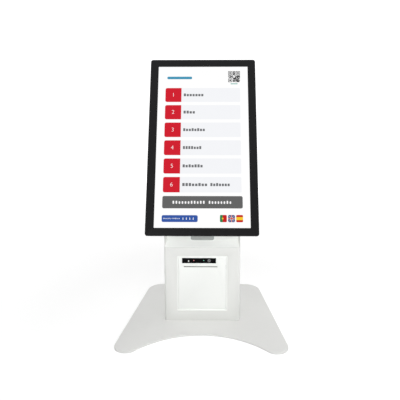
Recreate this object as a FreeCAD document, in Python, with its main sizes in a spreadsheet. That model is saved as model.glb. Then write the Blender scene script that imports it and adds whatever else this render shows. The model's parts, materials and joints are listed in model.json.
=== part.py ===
import FreeCAD, Part
import math
import os
from types import SimpleNamespace

import Sketcher
from FreeCAD import Placement, Rotation, Vector

# Countertop ticket kiosk: a leaning portrait touch display on a sheet-metal column that holds a
# panel-mount ticket printer, on a flat foot plate. Millimetres, +Z up, front towards -Y, origin on the
# table under the middle of the foot plate. Pieces of the display are drawn upright in a frame of their
# own (x right, y into the display from its front face, z up from its lower edge) and then leant back.

SIZES = {
    # Foot plate
    "plate_thick": 4.0,
    "plate_half_deep": 172.0,
    "plate_back_half": 160.2,
    "plate_front_half": 191.4,
    "plate_back_round": 40.0,
    "plate_tip_wide": 42.5,
    "plate_tip_round": 27.0,
    "plate_inner_round": 19.0,
    "plate_arc_apex": 103.5,
    "plate_edge_round": 0.8,
    "foot_high": 2.0,
    "foot_radius": 11.0,
    "foot_spread": 148.0,
    "foot_back": 130.0,
    "foot_front": 136.0,
    "screw_radius": 2.5,
    "screw_head_radius": 4.6,
    # Column
    "column_wide": 184.0,
    "column_front": 42.0,
    "column_deep": 150.0,
    "column_top": 424.0,
    "sheet_thick": 2.0,
    "bend_round": 5.0,
    "front_high": 190.0,
    "deck_angle": 12.0,
    "deck_tab": 20.0,
    "cheek_high": 232.0,
    "cheek_round": 6.5,
    "cheek_gap": 5.0,
    "cheek_proud": 3.0,
    "rear_flange": 14.0,
    "base_flange": 16.0,
    "rear_lip": 24.0,
    "cable_side": 60.0,
    "cable_high": 80.0,
    "cable_wide": 18.0,
    "cable_tall": 40.0,
    # Display
    "screen_wide": 268.5,
    "screen_tall": 448.0,
    "lean_angle": 17.35,
    "screen_front": 63.8,
    "screen_low": 224.3,
    "screen_round": 6.0,
    "rim_wide": 1.6,
    "glass_thick": 2.5,
    "glass_gap": 0.15,
    "panel_wide": 254.6,
    "panel_tall": 430.4,
    "panel_thick": 6.5,
    "frame_deep": 11.0,
    "frame_side": 5.0,
    "frame_border": 20.0,
    "housing_inset": 10.0,
    "housing_brim": 2.0,
    "housing_brim_wide": 8.0,
    "housing_deep": 18.0,
    "housing_slope": 28.0,
    "housing_wall": 2.2,
    "housing_round": 12.0,
    "vent_wide": 3.0,
    "vent_tall": 42.0,
    "vent_step": 8.0,
    "vent_count": 13.0,
    "vesa_spacing": 100.0,
    "vesa_margin": 8.0,
    "vesa_plate_thick": 3.0,
    "vesa_screw": 2.0,
    "vesa_screw_long": 10.0,
    "small_screw": 1.5,
    "vesa_boss": 5.0,
    "housing_screw_inset": 45.0,
    "housing_screw_long": 4.0,
    "board_wide": 152.0,
    "board_tall": 174.0,
    "board_low": 62.0,
    "board_thick": 1.6,
    "board_gap": 8.0,
    "button_radius": 5.0,
    "button_side": 70.0,
    "button_high": 70.0,
    "button_proud": 1.5,
    "button_travel": 1.2,
    "port_wide": 64.0,
    "port_tall": 14.0,
    "port_high": 100.0,
    # Mount arm and tilt hinge
    "arm_wide": 58.0,
    "arm_thick": 5.0,
    "arm_low": 8.6,
    "arm_round": 5.0,
    "arm_above": 21.0,
    "arm_screw_side": 18.0,
    "arm_screw_low": 20.0,
    "arm_screw_high": 150.0,
    "hinge_behind": 12.0,
    "hinge_to_arm": 11.5,
    "ear_round": 8.0,
    "ear_thick": 4.0,
    "ear_inside": 18.0,
    "washer_thick": 1.0,
    "side_gap": 0.1,
    "tilt_pin": 3.0,
    "running_gap": 0.05,
    "moving_gap": 0.3,
    # Ticket printer front
    "printer_wide": 122.0,
    "printer_tall": 138.0,
    "printer_low": 31.0,
    "printer_border": 3.2,
    "printer_proud": 1.5,
    "bezel_wall": 1.2,
    "bezel_deep": 14.0,
    "cutout_gap": 0.3,
    "catch_tab": 1.2,
    "door_gap": 0.4,
    "door_thick": 2.5,
    "door_recess": 0.5,
    "door_barrel": 3.0,
    "door_pin": 1.5,
    "window_wide": 82.0,
    "window_tall": 13.0,
    "window_left": 48.6,
    "window_low": 151.0,
    "window_thick": 1.5,
    "window_ledge": 2.0,
    "slit_wide": 80.6,
    "slit_tall": 2.4,
    "slit_high": 142.0,
    "led_radius": 1.5,
    "led_long": 4.0,
    "led_red_side": 20.0,
    "led_green_side": 3.9,
    "led_board_thick": 1.2,
    "led_board_tall": 10.0,
    # Ticket printer mechanism
    "paper_shift": 3.7,
    "chassis_half": 46.0,
    "chassis_sheet": 1.5,
    "chassis_low": 41.0,
    "chassis_top": 160.0,
    "chassis_setback": 10.0,
    "chassis_deep": 86.0,
    "roll_radius": 37.0,
    "roll_wide": 79.5,
    "core_radius": 9.0,
    "spindle_radius": 6.2,
    "roll_y": 16.0,
    "roll_z": 81.0,
    "platen_y": 27.0,
    "platen_z": 124.0,
    "platen_radius": 8.0,
    "platen_half": 40.8,
    "platen_shaft": 3.0,
    "door_ear": 2.0,
    "head_thick": 4.0,
    "head_low": 112.0,
    "head_high": 134.5,
    "spring_long": 6.5,
    "spring_radius": 2.6,
    "spring_wire": 0.45,
    "spring_turns": 4.0,
    "bracket_thick": 1.5,
    "blade_thick": 1.0,
    "blade_low": 136.5,
    "blade_gap": 0.3,
    "blade_half": 40.2,
    "blade_front": 16.0,
    "blade_long": 17.0,
    "blade_notch": 3.0,
    "fixed_blade_back": 20.5,
    "gear_module": 0.8,
    "gear_wide": 6.0,
    "gear_slack": 0.12,
    "gear_spread": 0.1,
    "platen_teeth": 22.0,
    "idler_teeth": 30.0,
    "pinion_teeth": 14.0,
    "pressure_angle": 25.0,
    "pinion_angle": 45.0,
    "gear_side_gap": 0.7,
    "gear_space": 8.2,
    "post_radius": 2.0,
    "motor_radius": 15.0,
    "motor_long": 20.0,
    "motor_shaft": 1.5,
    "control_wide": 68.0,
    "control_tall": 56.0,
    "control_above": 20.0,
    "control_gap": 4.0,
    # Rear of the column
    "door_inset": 8.0,
    "rear_low": 67.5,
    "rear_drop": 24.0,
    "rear_sheet": 1.5,
    "rim_inset": 10.0,
    "rim_deep": 4.0,
    "knuckle_radius": 3.0,
    "hinge_pin": 1.5,
    "leaf_long": 40.0,
    "leaf_thick": 1.2,
    "knuckle_long": 13.4,
    "hinge_low": 120.0,
    "hinge_drop": 50.0,
    "lock_inset": 24.0,
    "lock_high": 235.0,
    "lock_radius": 8.0,
    "plug_radius": 5.0,
    "cam_long": 26.0,
    "cam_thick": 2.0,
    "sill_low": 10.0,
    "sill_high": 66.0,
    "sill_screw_inset": 3.0,
    "sill_screw_edge": 7.0,
    "service_high": 38.0,
    "inlet_inset": 36.0,
    "inlet_wide": 27.0,
    "inlet_tall": 20.0,
    "switch_wide": 20.0,
    "switch_tall": 28.0,
    "rocker_angle": 9.0,
    "socket_inset": 40.0,
    "socket_wide": 16.0,
    "socket_tall": 14.0,
    "supply_wide": 130.0,
    "supply_deep": 80.0,
    "supply_front": 20.0,
    "supply_tall": 30.0,
}


class Size:
    """A length or an angle: its number, and the sheet expression that gives it."""

    def __init__(self, number, words):
        self.number = float(number)
        self.words = words

    def __float__(self):
        return self.number

    def __add__(self, other):
        return Size(self.number + float(other), f"({self.words} + {words_of(other)})")

    def __radd__(self, other):
        return self + other

    def __sub__(self, other):
        return Size(self.number - float(other), f"({self.words} - {words_of(other)})")

    def __rsub__(self, other):
        return Size(float(other) - self.number, f"({words_of(other)} - {self.words})")

    def __mul__(self, other):
        return Size(self.number * float(other), f"({self.words} * {words_of(other)})")

    def __rmul__(self, other):
        return self * other

    def __truediv__(self, other):
        return Size(self.number / float(other), f"({self.words} / {words_of(other)})")

    def __neg__(self):
        return 0 - self


def lesser(first, second):
    """The smaller of two lengths, in number and in words."""
    return Size(min(float(first), float(second)), f"min({words_of(first)}; {words_of(second)})")


def words_of(value):
    return value.words if isinstance(value, Size) else f"{float(value):.6f}"


def sine(angle):
    return Size(math.sin(math.radians(float(angle))), f"sin({words_of(angle)} * 1 deg)")


def cosine(angle):
    return Size(math.cos(math.radians(float(angle))), f"cos({words_of(angle)} * 1 deg)")


def start_document():
    """Make the document and its sheet of driving dimensions."""
    document = FreeCAD.newDocument("ticket_kiosk")
    sheet = document.addObject("Spreadsheet::Sheet", "Sizes")
    for row, (name, value) in enumerate(SIZES.items(), 1):
        sheet.set(f"A{row}", name)
        sheet.set(f"B{row}", str(value))
        sheet.setAlias(f"B{row}", name)
    document.recompute()
    return document, sheet


doc, sheet = start_document()
d = SimpleNamespace(**{name: Size(sheet.get(name), f"Sizes.{name}") for name in SIZES})
NODES = []
TURN_TO_X = Rotation(Vector(1, 1, 1), 120)
TURN_TO_Y = Rotation(Vector(1, 0, 0), -90)
BIG = 600.0


# ---------------------------------------------------------------------------------------------------
# Helpers: binding, sketches, features, primitives
# ---------------------------------------------------------------------------------------------------

def bind(item, prop, value):
    """Give a property its value, tied to the sheet where the value comes from it."""
    if isinstance(value, Size):
        item.setExpression(prop, value.words)
    elif prop.startswith("."):
        item.setExpression(prop, words_of(value))
    else:
        setattr(item, prop, float(value))


def place(item, spot, turn=None):
    item.Placement = Placement(Vector(*[float(value) for value in spot]), turn or Rotation())
    for axis, value in zip("xyz", spot):
        if isinstance(value, Size):
            item.setExpression(f".Placement.Base.{axis}", value.words)


def lean(item):
    """Lean a piece of the display back, about the lower front edge of the screen."""
    place(item, (0, -d.screen_front, d.screen_low), Rotation(Vector(1, 0, 0), -float(d.lean_angle)))
    item.setExpression(".Placement.Rotation.Angle", (-d.lean_angle).words)
    return item


def leant(y, z):
    """Row-frame Y and Z of a point of the display's own frame."""
    return (y * cosine(d.lean_angle) + z * sine(d.lean_angle) - d.screen_front,
            z * cosine(d.lean_angle) - y * sine(d.lean_angle) + d.screen_low)


def node(item, name):
    item.Label = name
    NODES.append(item)
    return item


def new_body(name):
    body = doc.addObject("PartDesign::Body", name)
    body.AllowCompound = False
    return node(body, name)


def sketch_on(body, role, offset=0.0):
    """A sketch on one of the body's origin planes. XZ sketches face -Y, YZ sketches face +X."""
    sketch = body.newObject("Sketcher::SketchObject", body.Name + "_sketch")
    plane = next(item for item in body.Origin.OriginFeatures if item.Role == role)
    sketch.AttachmentSupport = [(plane, "")]
    sketch.MapMode = "FlatFace"
    if isinstance(offset, Size):
        sketch.setExpression("AttachmentOffset.Base.z", offset.words)
    else:
        sketch.AttachmentOffset = Placement(Vector(0, 0, float(offset)), Rotation())
    return sketch


def leant_sketch(body, depth):
    """A sketch parallel to the screen at a depth behind its front, in the display's x and z."""
    sketch = sketch_on(body, "XZ_Plane")
    y, z = leant(depth, 0)
    sketch.AttachmentOffset = Placement(Vector(0, float(z), -float(y)),
                                        Rotation(Vector(1, 0, 0), -float(d.lean_angle)))
    sketch.setExpression("AttachmentOffset.Base.y", z.words)
    sketch.setExpression("AttachmentOffset.Base.z", (-y).words)
    sketch.setExpression("AttachmentOffset.Rotation.Angle", (-d.lean_angle).words)
    return sketch


def fix(sketch, constraint, value):
    index = sketch.addConstraint(constraint)
    if isinstance(value, Size):
        sketch.setExpression(f"Constraints[{index}]", value.words)


def fix_point(sketch, item, end, x, y):
    fix(sketch, Sketcher.Constraint("DistanceX", -1, 1, item, end, float(x)), x)
    fix(sketch, Sketcher.Constraint("DistanceY", -1, 1, item, end, float(y)), y)


def flat(point):
    return Vector(float(point[0]), float(point[1]), 0)


def add_outline(sketch, points):
    """A closed outline of straight lines, every corner tied to the sheet."""
    first = sketch.GeometryCount
    count = len(points)
    for index in range(count):
        sketch.addGeometry(Part.LineSegment(flat(points[index]), flat(points[(index + 1) % count])))
    for index in range(count):
        sketch.addConstraint(Sketcher.Constraint("Coincident", first + index, 2,
                                                 first + (index + 1) % count, 1))
    for index, (x, y) in enumerate(points):
        fix_point(sketch, first + index, 1, x, y)


def add_rectangle(sketch, x_low, y_low, x_high, y_high):
    add_outline(sketch, [(x_low, y_low), (x_high, y_low), (x_high, y_high), (x_low, y_high)])


def add_circle(sketch, x, y, radius):
    index = sketch.addGeometry(Part.Circle(flat((x, y)), Vector(0, 0, 1), float(radius)))
    fix_point(sketch, index, 3, x, y)
    fix(sketch, Sketcher.Constraint("Radius", index, float(radius)), radius)


def add_rounded(sketch, x_low, y_low, x_high, y_high, radius):
    """A rectangle with round corners: four lines joined by tangent arcs."""
    left, low, right, high, r = (float(v) for v in (x_low, y_low, x_high, y_high, radius))
    corners = [(right - r, low + r, -90), (right - r, high - r, 0),
               (left + r, high - r, 90), (left + r, low + r, 180)]
    ends = [((left + r, low), (right - r, low)), ((right, low + r), (right, high - r)),
            ((right - r, high), (left + r, high)), ((left, high - r), (left, low + r))]
    lines = [sketch.addGeometry(Part.LineSegment(flat(a), flat(b))) for a, b in ends]
    arcs = []
    for x, y, start in corners:
        circle = Part.Circle(flat((x, y)), Vector(0, 0, 1), r)
        arcs.append(sketch.addGeometry(
            Part.ArcOfCircle(circle, math.radians(start), math.radians(start + 90))))
    for index in range(4):
        sketch.addConstraint(Sketcher.Constraint("Tangent", lines[index], 2, arcs[index], 1))
        sketch.addConstraint(Sketcher.Constraint("Tangent", arcs[index], 2,
                                                 lines[(index + 1) % 4], 1))
        fix(sketch, Sketcher.Constraint("Radius", arcs[index], r), radius)
    for line, kind in zip(lines, ("Horizontal", "Vertical", "Horizontal", "Vertical")):
        sketch.addConstraint(Sketcher.Constraint(kind, line))
    for line, kind, value in ((lines[0], "DistanceY", y_low), (lines[1], "DistanceX", x_high),
                              (lines[2], "DistanceY", y_high), (lines[3], "DistanceX", x_low)):
        fix(sketch, Sketcher.Constraint(kind, -1, 1, line, 1, float(value)), value)


def grow(body, kind, sketch, length, reverse, both):
    feature = body.newObject(kind, body.Name + "_step")
    feature.Profile = sketch
    feature.SideType = "Symmetric" if both else "One side"
    feature.Reversed = reverse
    bind(feature, "Length", length)
    sketch.Visibility = False
    doc.recompute()
    if not feature.isValid():
        raise RuntimeError(f"{body.Label}: {kind} failed")
    return feature


def pad(body, sketch, length, reverse=False, both=False):
    return grow(body, "PartDesign::Pad", sketch, length, reverse, both)


def pocket(body, sketch, length, reverse=False, both=False):
    before = body.Shape.Volume
    feature = grow(body, "PartDesign::Pocket", sketch, length, reverse, both)
    if body.Shape.Volume > before - 1e-3:
        raise RuntimeError(f"{body.Label}: a pocket removed nothing")
    return feature


def repeat(body, feature, role, length, count):
    """Copies of a feature in a row along one of the body's axes."""
    pattern = body.newObject("PartDesign::LinearPattern", body.Name + "_row")
    pattern.Originals = [feature]
    pattern.Direction = (next(f for f in body.Origin.OriginFeatures if f.Role == role), [""])
    bind(pattern, "Length", length)
    pattern.Occurrences = int(float(count))
    body.Tip = pattern
    doc.recompute()


def round_edges(body, radius, wanted, kind="PartDesign::Fillet"):
    base = body.Tip
    names = [f"Edge{index}" for index, edge in enumerate(base.Shape.Edges, 1) if wanted(edge)]
    if not names:
        raise RuntimeError(f"{body.Label}: no edge to round")
    feature = body.newObject(kind, body.Name + "_round")
    feature.Base = (base, names)
    bind(feature, "Size" if kind.endswith("Chamfer") else "Radius", radius)
    doc.recompute()
    if not feature.isValid() or not feature.Shape.isValid():
        raise RuntimeError(f"{body.Label}: rounding by {float(radius)} failed")


def runs_along(edge, axis):
    return edge.Curve.TypeId == "Part::GeomLine" and abs(edge.Curve.Direction.dot(axis)) > 0.999


def corner_edges(axis, spots):
    """Picks straight edges along an axis that pass near the given points."""
    def wanted(edge):
        if not runs_along(edge, axis):
            return False
        middle = edge.CenterOfMass
        flat_middle = middle - axis * middle.dot(axis)
        return any((flat_middle - Vector(*[float(v) for v in spot])).Length < 0.05 for spot in spots)
    return wanted


def level_edges(height):
    """Picks every edge that lies in the plane at one height."""
    return lambda edge: abs(edge.BoundBox.ZMin - float(height)) < 1e-4 > abs(
        edge.BoundBox.ZMax - float(height))


def box(name, low, size, turn=None):
    item = doc.addObject("Part::Box", name)
    for prop, value in zip(("Length", "Width", "Height"), size):
        bind(item, prop, value)
    place(item, low, turn)
    return item


def rod(name, start, radius, length, axis="z"):
    """A round bar from a start point along +X, +Y or +Z."""
    item = doc.addObject("Part::Cylinder", name)
    bind(item, "Radius", radius)
    bind(item, "Height", length)
    place(item, start, {"x": TURN_TO_X, "y": TURN_TO_Y, "z": None}[axis])
    return item


def fuse(name, parts):
    item = doc.addObject("Part::MultiFuse", name)
    item.Shapes = parts
    item.Refine = True
    return item


def cut(name, base, tools):
    item = doc.addObject("Part::Cut", name)
    item.Base = base
    item.Tool = tools[0] if len(tools) == 1 else fuse(name + "_tools", tools)
    return item


def group(name, parts):
    """Identical pieces that share one node as separate solids."""
    item = doc.addObject("Part::Compound", name)
    item.Links = parts
    return node(item, name)


def solid_piece(name, shape, placement=None):
    item = doc.addObject("Part::Feature", name)
    item.Shape = shape
    if placement is not None:
        item.Placement = placement
    return node(item, name)


# ---------------------------------------------------------------------------------------------------
# Shared places
# ---------------------------------------------------------------------------------------------------

half_wide = d.column_wide / 2
half_inside = half_wide - d.sheet_thick
front_y = -d.column_front
front_inside = front_y + d.sheet_thick
back_y = d.column_deep - d.column_front
floor_z = d.foot_high + d.plate_thick
cheek_front = front_y + d.bend_round + 0.5
arc_half = d.plate_front_half - d.plate_tip_wide
arc_high = d.plate_half_deep - d.plate_arc_apex
arc_radius = (arc_half * arc_half + arc_high * arc_high) / (arc_high * 2)

plateau_y = d.frame_deep + d.housing_brim + d.housing_deep
screen_middle = d.screen_tall / 2
hinge_y = plateau_y + d.vesa_plate_thick + d.hinge_behind
arm_front_y = hinge_y + d.hinge_to_arm
arm_back_y = arm_front_y + d.arm_thick

bezel_low = d.printer_low
bezel_high = d.printer_low + d.printer_tall
bezel_half = d.printer_wide / 2
opening_half = bezel_half - d.printer_border
opening_low = bezel_low + d.printer_border
opening_high = bezel_high - d.printer_border
sleeve_half = opening_half + d.bezel_wall
bezel_face = front_y - d.printer_proud
bezel_back = front_y + d.bezel_deep
door_face = bezel_face + d.door_recess
door_inside = door_face + d.door_thick
door_low = opening_low + d.door_gap
door_high = opening_high - d.door_gap
door_half = opening_half - d.door_gap
door_axis_y = door_face + d.door_barrel
door_axis_z = door_low + d.door_barrel

middle_x = -d.paper_shift
chassis_left = middle_x - d.chassis_half
chassis_right = middle_x + d.chassis_half
chassis_inner = d.chassis_half - d.chassis_sheet
chassis_front = bezel_back + d.chassis_setback
chassis_back = bezel_back + d.chassis_deep
platen_axis_y = -d.platen_y
ear_inner = d.platen_half + d.side_gap * 6
ear_outer = ear_inner + d.door_ear
platen_pitch = d.platen_teeth * d.gear_module / 2
idler_pitch = d.idler_teeth * d.gear_module / 2
pinion_pitch = d.pinion_teeth * d.gear_module / 2
idler_y = platen_axis_y + platen_pitch + idler_pitch + d.gear_spread
idler_z = d.platen_z
pinion_reach = idler_pitch + pinion_pitch + d.gear_spread
pinion_y = idler_y + pinion_reach * cosine(d.pinion_angle)
pinion_z = idler_z - pinion_reach * sine(d.pinion_angle)
guide_front = 2 - d.blade_front
guide_back = d.blade_long - d.blade_front + 4
guide_top = d.blade_low + d.blade_thick + 3.5
gear_x = chassis_right + d.gear_side_gap
gear_plate_x = chassis_right + d.gear_space
motor_x = gear_plate_x + d.chassis_sheet

rear_face = back_y + d.moving_gap + d.rear_sheet
sill_face = back_y + d.rear_sheet
lock_back = back_y - 5
rear_axis_y = rear_face + d.side_gap * 4 + d.knuckle_radius
rear_high = d.column_top - d.rear_drop
door_side = half_wide - d.door_inset
lock_side = door_side - d.lock_inset
rear_axis_x = -door_side - d.side_gap * 5
leaf_half = d.leaf_long / 2
inlet_side = door_side - d.inlet_inset
socket_side = door_side - d.socket_inset


# ---------------------------------------------------------------------------------------------------
# Foot plate and column
# ---------------------------------------------------------------------------------------------------

def make_base_plate():
    body = new_body("base_plate")
    sketch = sketch_on(body, "XY_Plane", d.foot_high)
    add_outline(sketch, [(-d.plate_back_half, d.plate_half_deep), (-d.plate_front_half, -d.plate_half_deep),
                         (d.plate_front_half, -d.plate_half_deep), (d.plate_back_half, d.plate_half_deep)])
    pad(body, sketch, d.plate_thick)
    arc = sketch_on(body, "XY_Plane", d.foot_high)
    add_circle(arc, 0, -d.plate_arc_apex - arc_radius, arc_radius)
    pocket(body, arc, BIG, both=True)
    inner_round = lesser(d.plate_inner_round, d.plate_tip_wide * 0.45)
    tip_round = lesser(d.plate_tip_round, d.plate_tip_wide * 0.64)
    for radius, x, y in ((inner_round, arc_half, -d.plate_half_deep),
                         (tip_round, d.plate_front_half, -d.plate_half_deep),
                         (d.plate_back_round, d.plate_back_half, d.plate_half_deep)):
        both_sides = [(-x, y, 0), (x, y, 0)]
        round_edges(body, radius, corner_edges(Vector(0, 0, 1), both_sides))
    holes = sketch_on(body, "XY_Plane", d.foot_high)
    for x, y in column_screw_spots():
        add_circle(holes, x, y, d.screw_radius)
    pocket(body, holes, BIG, both=True)
    sinks = sketch_on(body, "XY_Plane", d.foot_high)
    for x, y in column_screw_spots():
        add_circle(sinks, x, y, d.screw_head_radius)
    pocket(body, sinks, d.plate_thick / 2, reverse=True)
    round_edges(body, d.plate_edge_round, level_edges(floor_z), "PartDesign::Chamfer")


def column_screw_spots():
    side = half_inside - d.base_flange / 2
    return [(sign * side, y) for sign in (-1, 1)
            for y in (front_y + d.base_flange + 14, back_y - d.base_flange - 14)]


def make_base_feet():
    spots = [(sign * d.foot_spread, y) for sign in (-1, 1) for y in (-d.foot_front, d.foot_back)]
    spots += [(sign * d.foot_spread / 2, y) for sign in (-1, 1) for y in (-d.foot_front / 2, d.foot_back)]
    group("base_feet", [rod(f"foot_{index}", (x, y, 0), d.foot_radius, d.foot_high)
                        for index, (x, y) in enumerate(spots)])


def make_column_screws():
    screws = []
    for index, (x, y) in enumerate(column_screw_spots()):
        head = rod(f"column_head_{index}", (x, y, d.foot_high), d.screw_head_radius, d.plate_thick / 2)
        shank = rod(f"column_shank_{index}", (x, y, d.foot_high), d.screw_radius,
                    d.plate_thick + d.sheet_thick + 3)
        screws.append(fuse(f"column_screw_{index}", [head, shank]))
    group("column_screws", screws)


def cheek_corner():
    """Where the level top of a cheek's front meets the line that runs along the display's back."""
    line_y, line_z = leant(plateau_y + d.cheek_gap, 0)
    return line_y + (d.cheek_high - line_z) * sine(d.lean_angle) / cosine(d.lean_angle)


def cheek_top_y():
    line_y, line_z = leant(plateau_y + d.cheek_gap, 0)
    return line_y + (d.column_top - line_z) * sine(d.lean_angle) / cosine(d.lean_angle)


def make_column_shell():
    """Front and both sides bent from one sheet, with returns at the back and tabs on the foot plate."""
    body = new_body("column_shell")
    section = sketch_on(body, "XY_Plane", floor_z)
    flange_x = half_wide - d.rear_flange
    add_outline(section, [(-half_wide, front_y), (half_wide, front_y), (half_wide, back_y),
                          (flange_x, back_y), (flange_x, back_y - d.sheet_thick),
                          (half_inside, back_y - d.sheet_thick), (half_inside, front_inside),
                          (-half_inside, front_inside), (-half_inside, back_y - d.sheet_thick),
                          (-flange_x, back_y - d.sheet_thick), (-flange_x, back_y),
                          (-half_wide, back_y)])
    pad(body, section, d.column_top - floor_z)
    upright = Vector(0, 0, 1)
    round_edges(body, d.bend_round, corner_edges(upright, [(sign * float(half_wide), y, 0)
                                                           for sign in (-1, 1) for y in (front_y, back_y)]))
    round_edges(body, d.bend_round - d.sheet_thick,
                corner_edges(upright, [(sign * float(half_inside), y, 0) for sign in (-1, 1)
                                       for y in (front_inside, back_y - d.sheet_thick)]))
    cut_cheeks(body)
    cut_printer_opening(body)
    add_foot_tabs(body)
    rear_holes = sketch_on(body, "XZ_Plane", -back_y)
    for x, z in sill_screw_spots():
        add_circle(rear_holes, x, z, d.small_screw)
    pocket(body, rear_holes, d.sheet_thick, reverse=True)


def cut_cheeks(body):
    """Lower the front to the deck and slope the sides along the display's back, leaving the cheeks."""
    front = sketch_on(body, "XZ_Plane", d.column_front)
    add_rectangle(front, -half_wide - 1, d.front_high, half_wide + 1, d.column_top + 1)
    pocket(body, front, cheek_front - front_y)
    side = sketch_on(body, "YZ_Plane")
    add_outline(side, [(front_y - 1, d.cheek_high), (cheek_corner(), d.cheek_high),
                       (cheek_top_y(), d.column_top), (cheek_top_y(), d.column_top + 1),
                       (front_y - 1, d.column_top + 1)])
    pocket(body, side, BIG, both=True)
    across = Vector(1, 0, 0)
    round_edges(body, d.cheek_round, corner_edges(across, [(0, cheek_front, d.cheek_high),
                                                           (0, cheek_corner(), d.cheek_high)]))


def cut_printer_opening(body):
    hole = sketch_on(body, "XZ_Plane", d.column_front)
    grow_by = d.cutout_gap
    add_rectangle(hole, -sleeve_half - grow_by, opening_low - d.bezel_wall - grow_by,
                  sleeve_half + grow_by, opening_high + d.bezel_wall + grow_by)
    pocket(body, hole, d.sheet_thick + 1)


def add_foot_tabs(body):
    """Two tabs turned inwards at the foot, each with its two screw holes."""
    tabs = sketch_on(body, "XY_Plane", floor_z)
    for sign in (-1, 1):
        edges = sorted((sign * half_inside, sign * (half_inside - d.base_flange)), key=float)
        add_rectangle(tabs, edges[0], front_y + d.base_flange, edges[1], back_y - d.base_flange)
    pad(body, tabs, d.sheet_thick)
    holes = sketch_on(body, "XY_Plane", floor_z)
    for x, y in column_screw_spots():
        add_circle(holes, x, y, d.screw_radius)
    pocket(body, holes, d.sheet_thick, reverse=True)


def meeting(point, angle, other, other_angle):
    """Where two lines meet, each through a point at an angle above +Y, in degrees."""
    gap_y, gap_z = other[0] - point[0], other[1] - point[1]
    along = (gap_y * sine(other_angle) - gap_z * cosine(other_angle)) / sine(other_angle - angle)
    return point[0] + along * cosine(angle), point[1] + along * sine(angle)


def make_deck_panel():
    """One folded sheet between the cheeks: tab, deck, leaning panel with cable slots, top and rear lip."""
    body = new_body("deck_panel")
    sketch = sketch_on(body, "YZ_Plane")
    sheet_thick, steep = d.sheet_thick, 90 - d.lean_angle
    top_z = d.column_top - d.cheek_proud
    lip_y = back_y - d.sheet_thick
    start = (front_inside, d.front_high)
    panel_face = leant(arm_back_y, 0)
    panel_inner = leant(arm_back_y + sheet_thick, 0)
    deck_inner = (front_inside, d.front_high - sheet_thick / cosine(d.deck_angle))
    outside = [(front_inside, d.front_high - d.deck_tab), start,
               meeting(start, d.deck_angle, panel_face, steep),
               meeting((0, top_z), 0, panel_face, steep), (lip_y, top_z), (lip_y, top_z - d.rear_lip)]
    inside = [(lip_y - sheet_thick, top_z - d.rear_lip), (lip_y - sheet_thick, top_z - sheet_thick),
              meeting((0, top_z - sheet_thick), 0, panel_inner, steep),
              meeting(deck_inner, d.deck_angle, panel_inner, steep),
              meeting((front_inside + sheet_thick, 0), 90, deck_inner, d.deck_angle),
              (front_inside + sheet_thick, d.front_high - d.deck_tab)]
    add_outline(sketch, outside + inside)
    pad(body, sketch, (half_inside - d.side_gap) * 2, both=True)
    bends = [(0, *point) for point in outside[3:5]]
    round_edges(body, d.sheet_thick * 1.5, corner_edges(Vector(1, 0, 0), bends))
    relief = d.bend_round - d.sheet_thick + d.moving_gap
    for y, low, high in ((front_inside, d.front_high - d.deck_tab - 1, d.front_high + 3),
                         (lip_y - relief, top_z - d.rear_lip - 1, top_z + 1)):
        corners = sketch_on(body, "XZ_Plane", -y)
        for sign in (-1, 1):
            edges = sorted((sign * (half_inside - relief), sign * (half_inside + 1)), key=float)
            add_rectangle(corners, edges[0], low, edges[1], high)
        pocket(body, corners, relief)
    holes = leant_sketch(body, arm_back_y)
    for x, z in arm_screw_spots():
        add_circle(holes, x, z, d.vesa_screw + 0.2)
    for x in (-d.cable_side, d.cable_side):
        add_rounded(holes, x - d.cable_wide / 2, d.cable_high, x + d.cable_wide / 2,
                    d.cable_high + d.cable_tall, d.cable_wide / 3)
    pocket(body, holes, sheet_thick + 1)


# ---------------------------------------------------------------------------------------------------
# Mount arm and tilt hinge
# ---------------------------------------------------------------------------------------------------

def arm_screw_spots():
    return [(sign * d.arm_screw_side, z) for sign in (-1, 1) for z in (d.arm_screw_low, d.arm_screw_high)]


def add_ears(body, inner, base_y, hole):
    """Two ears around the tilt axis, rising from a plate at base_y."""
    outer = inner + d.ear_thick
    low_y, high_y = sorted((hinge_y, base_y), key=float)
    web = sketch_on(body, "YZ_Plane")
    add_rectangle(web, low_y, screen_middle - d.ear_round, high_y, screen_middle + d.ear_round)
    pad(body, web, outer * 2, both=True)
    nose = sketch_on(body, "YZ_Plane")
    add_circle(nose, hinge_y, screen_middle, d.ear_round)
    pad(body, nose, outer * 2, both=True)
    gap = sketch_on(body, "YZ_Plane")
    far_y = hinge_y - d.ear_round - 1 if float(base_y) > float(hinge_y) else hinge_y + d.ear_round + 1
    low_y, high_y = sorted((far_y, base_y), key=float)
    reach = d.ear_round + 1
    add_rectangle(gap, low_y, screen_middle - reach, high_y, screen_middle + reach)
    pocket(body, gap, inner * 2, both=True)
    bore = sketch_on(body, "YZ_Plane")
    add_circle(bore, hinge_y, screen_middle, hole)
    pocket(body, bore, outer * 4, both=True)


def make_mount_arm():
    body = new_body("mount_arm")
    sketch = sketch_on(body, "XZ_Plane", -arm_front_y)
    add_rectangle(sketch, -d.arm_wide / 2, -d.arm_low, d.arm_wide / 2, screen_middle + d.arm_above)
    pad(body, sketch, d.arm_thick, reverse=True)
    spots = [(sign * float(d.arm_wide) / 2, 0, z) for sign in (-1, 1)
             for z in (-d.arm_low, screen_middle + d.arm_above)]
    round_edges(body, d.arm_round, corner_edges(Vector(0, 1, 0), spots))
    holes = sketch_on(body, "XZ_Plane", -arm_front_y)
    for x, z in arm_screw_spots():
        add_circle(holes, x, z, d.vesa_screw + 0.2)
    pocket(body, holes, BIG, both=True)
    add_ears(body, d.ear_inside, arm_front_y, d.tilt_pin)
    lean(body)


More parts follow.
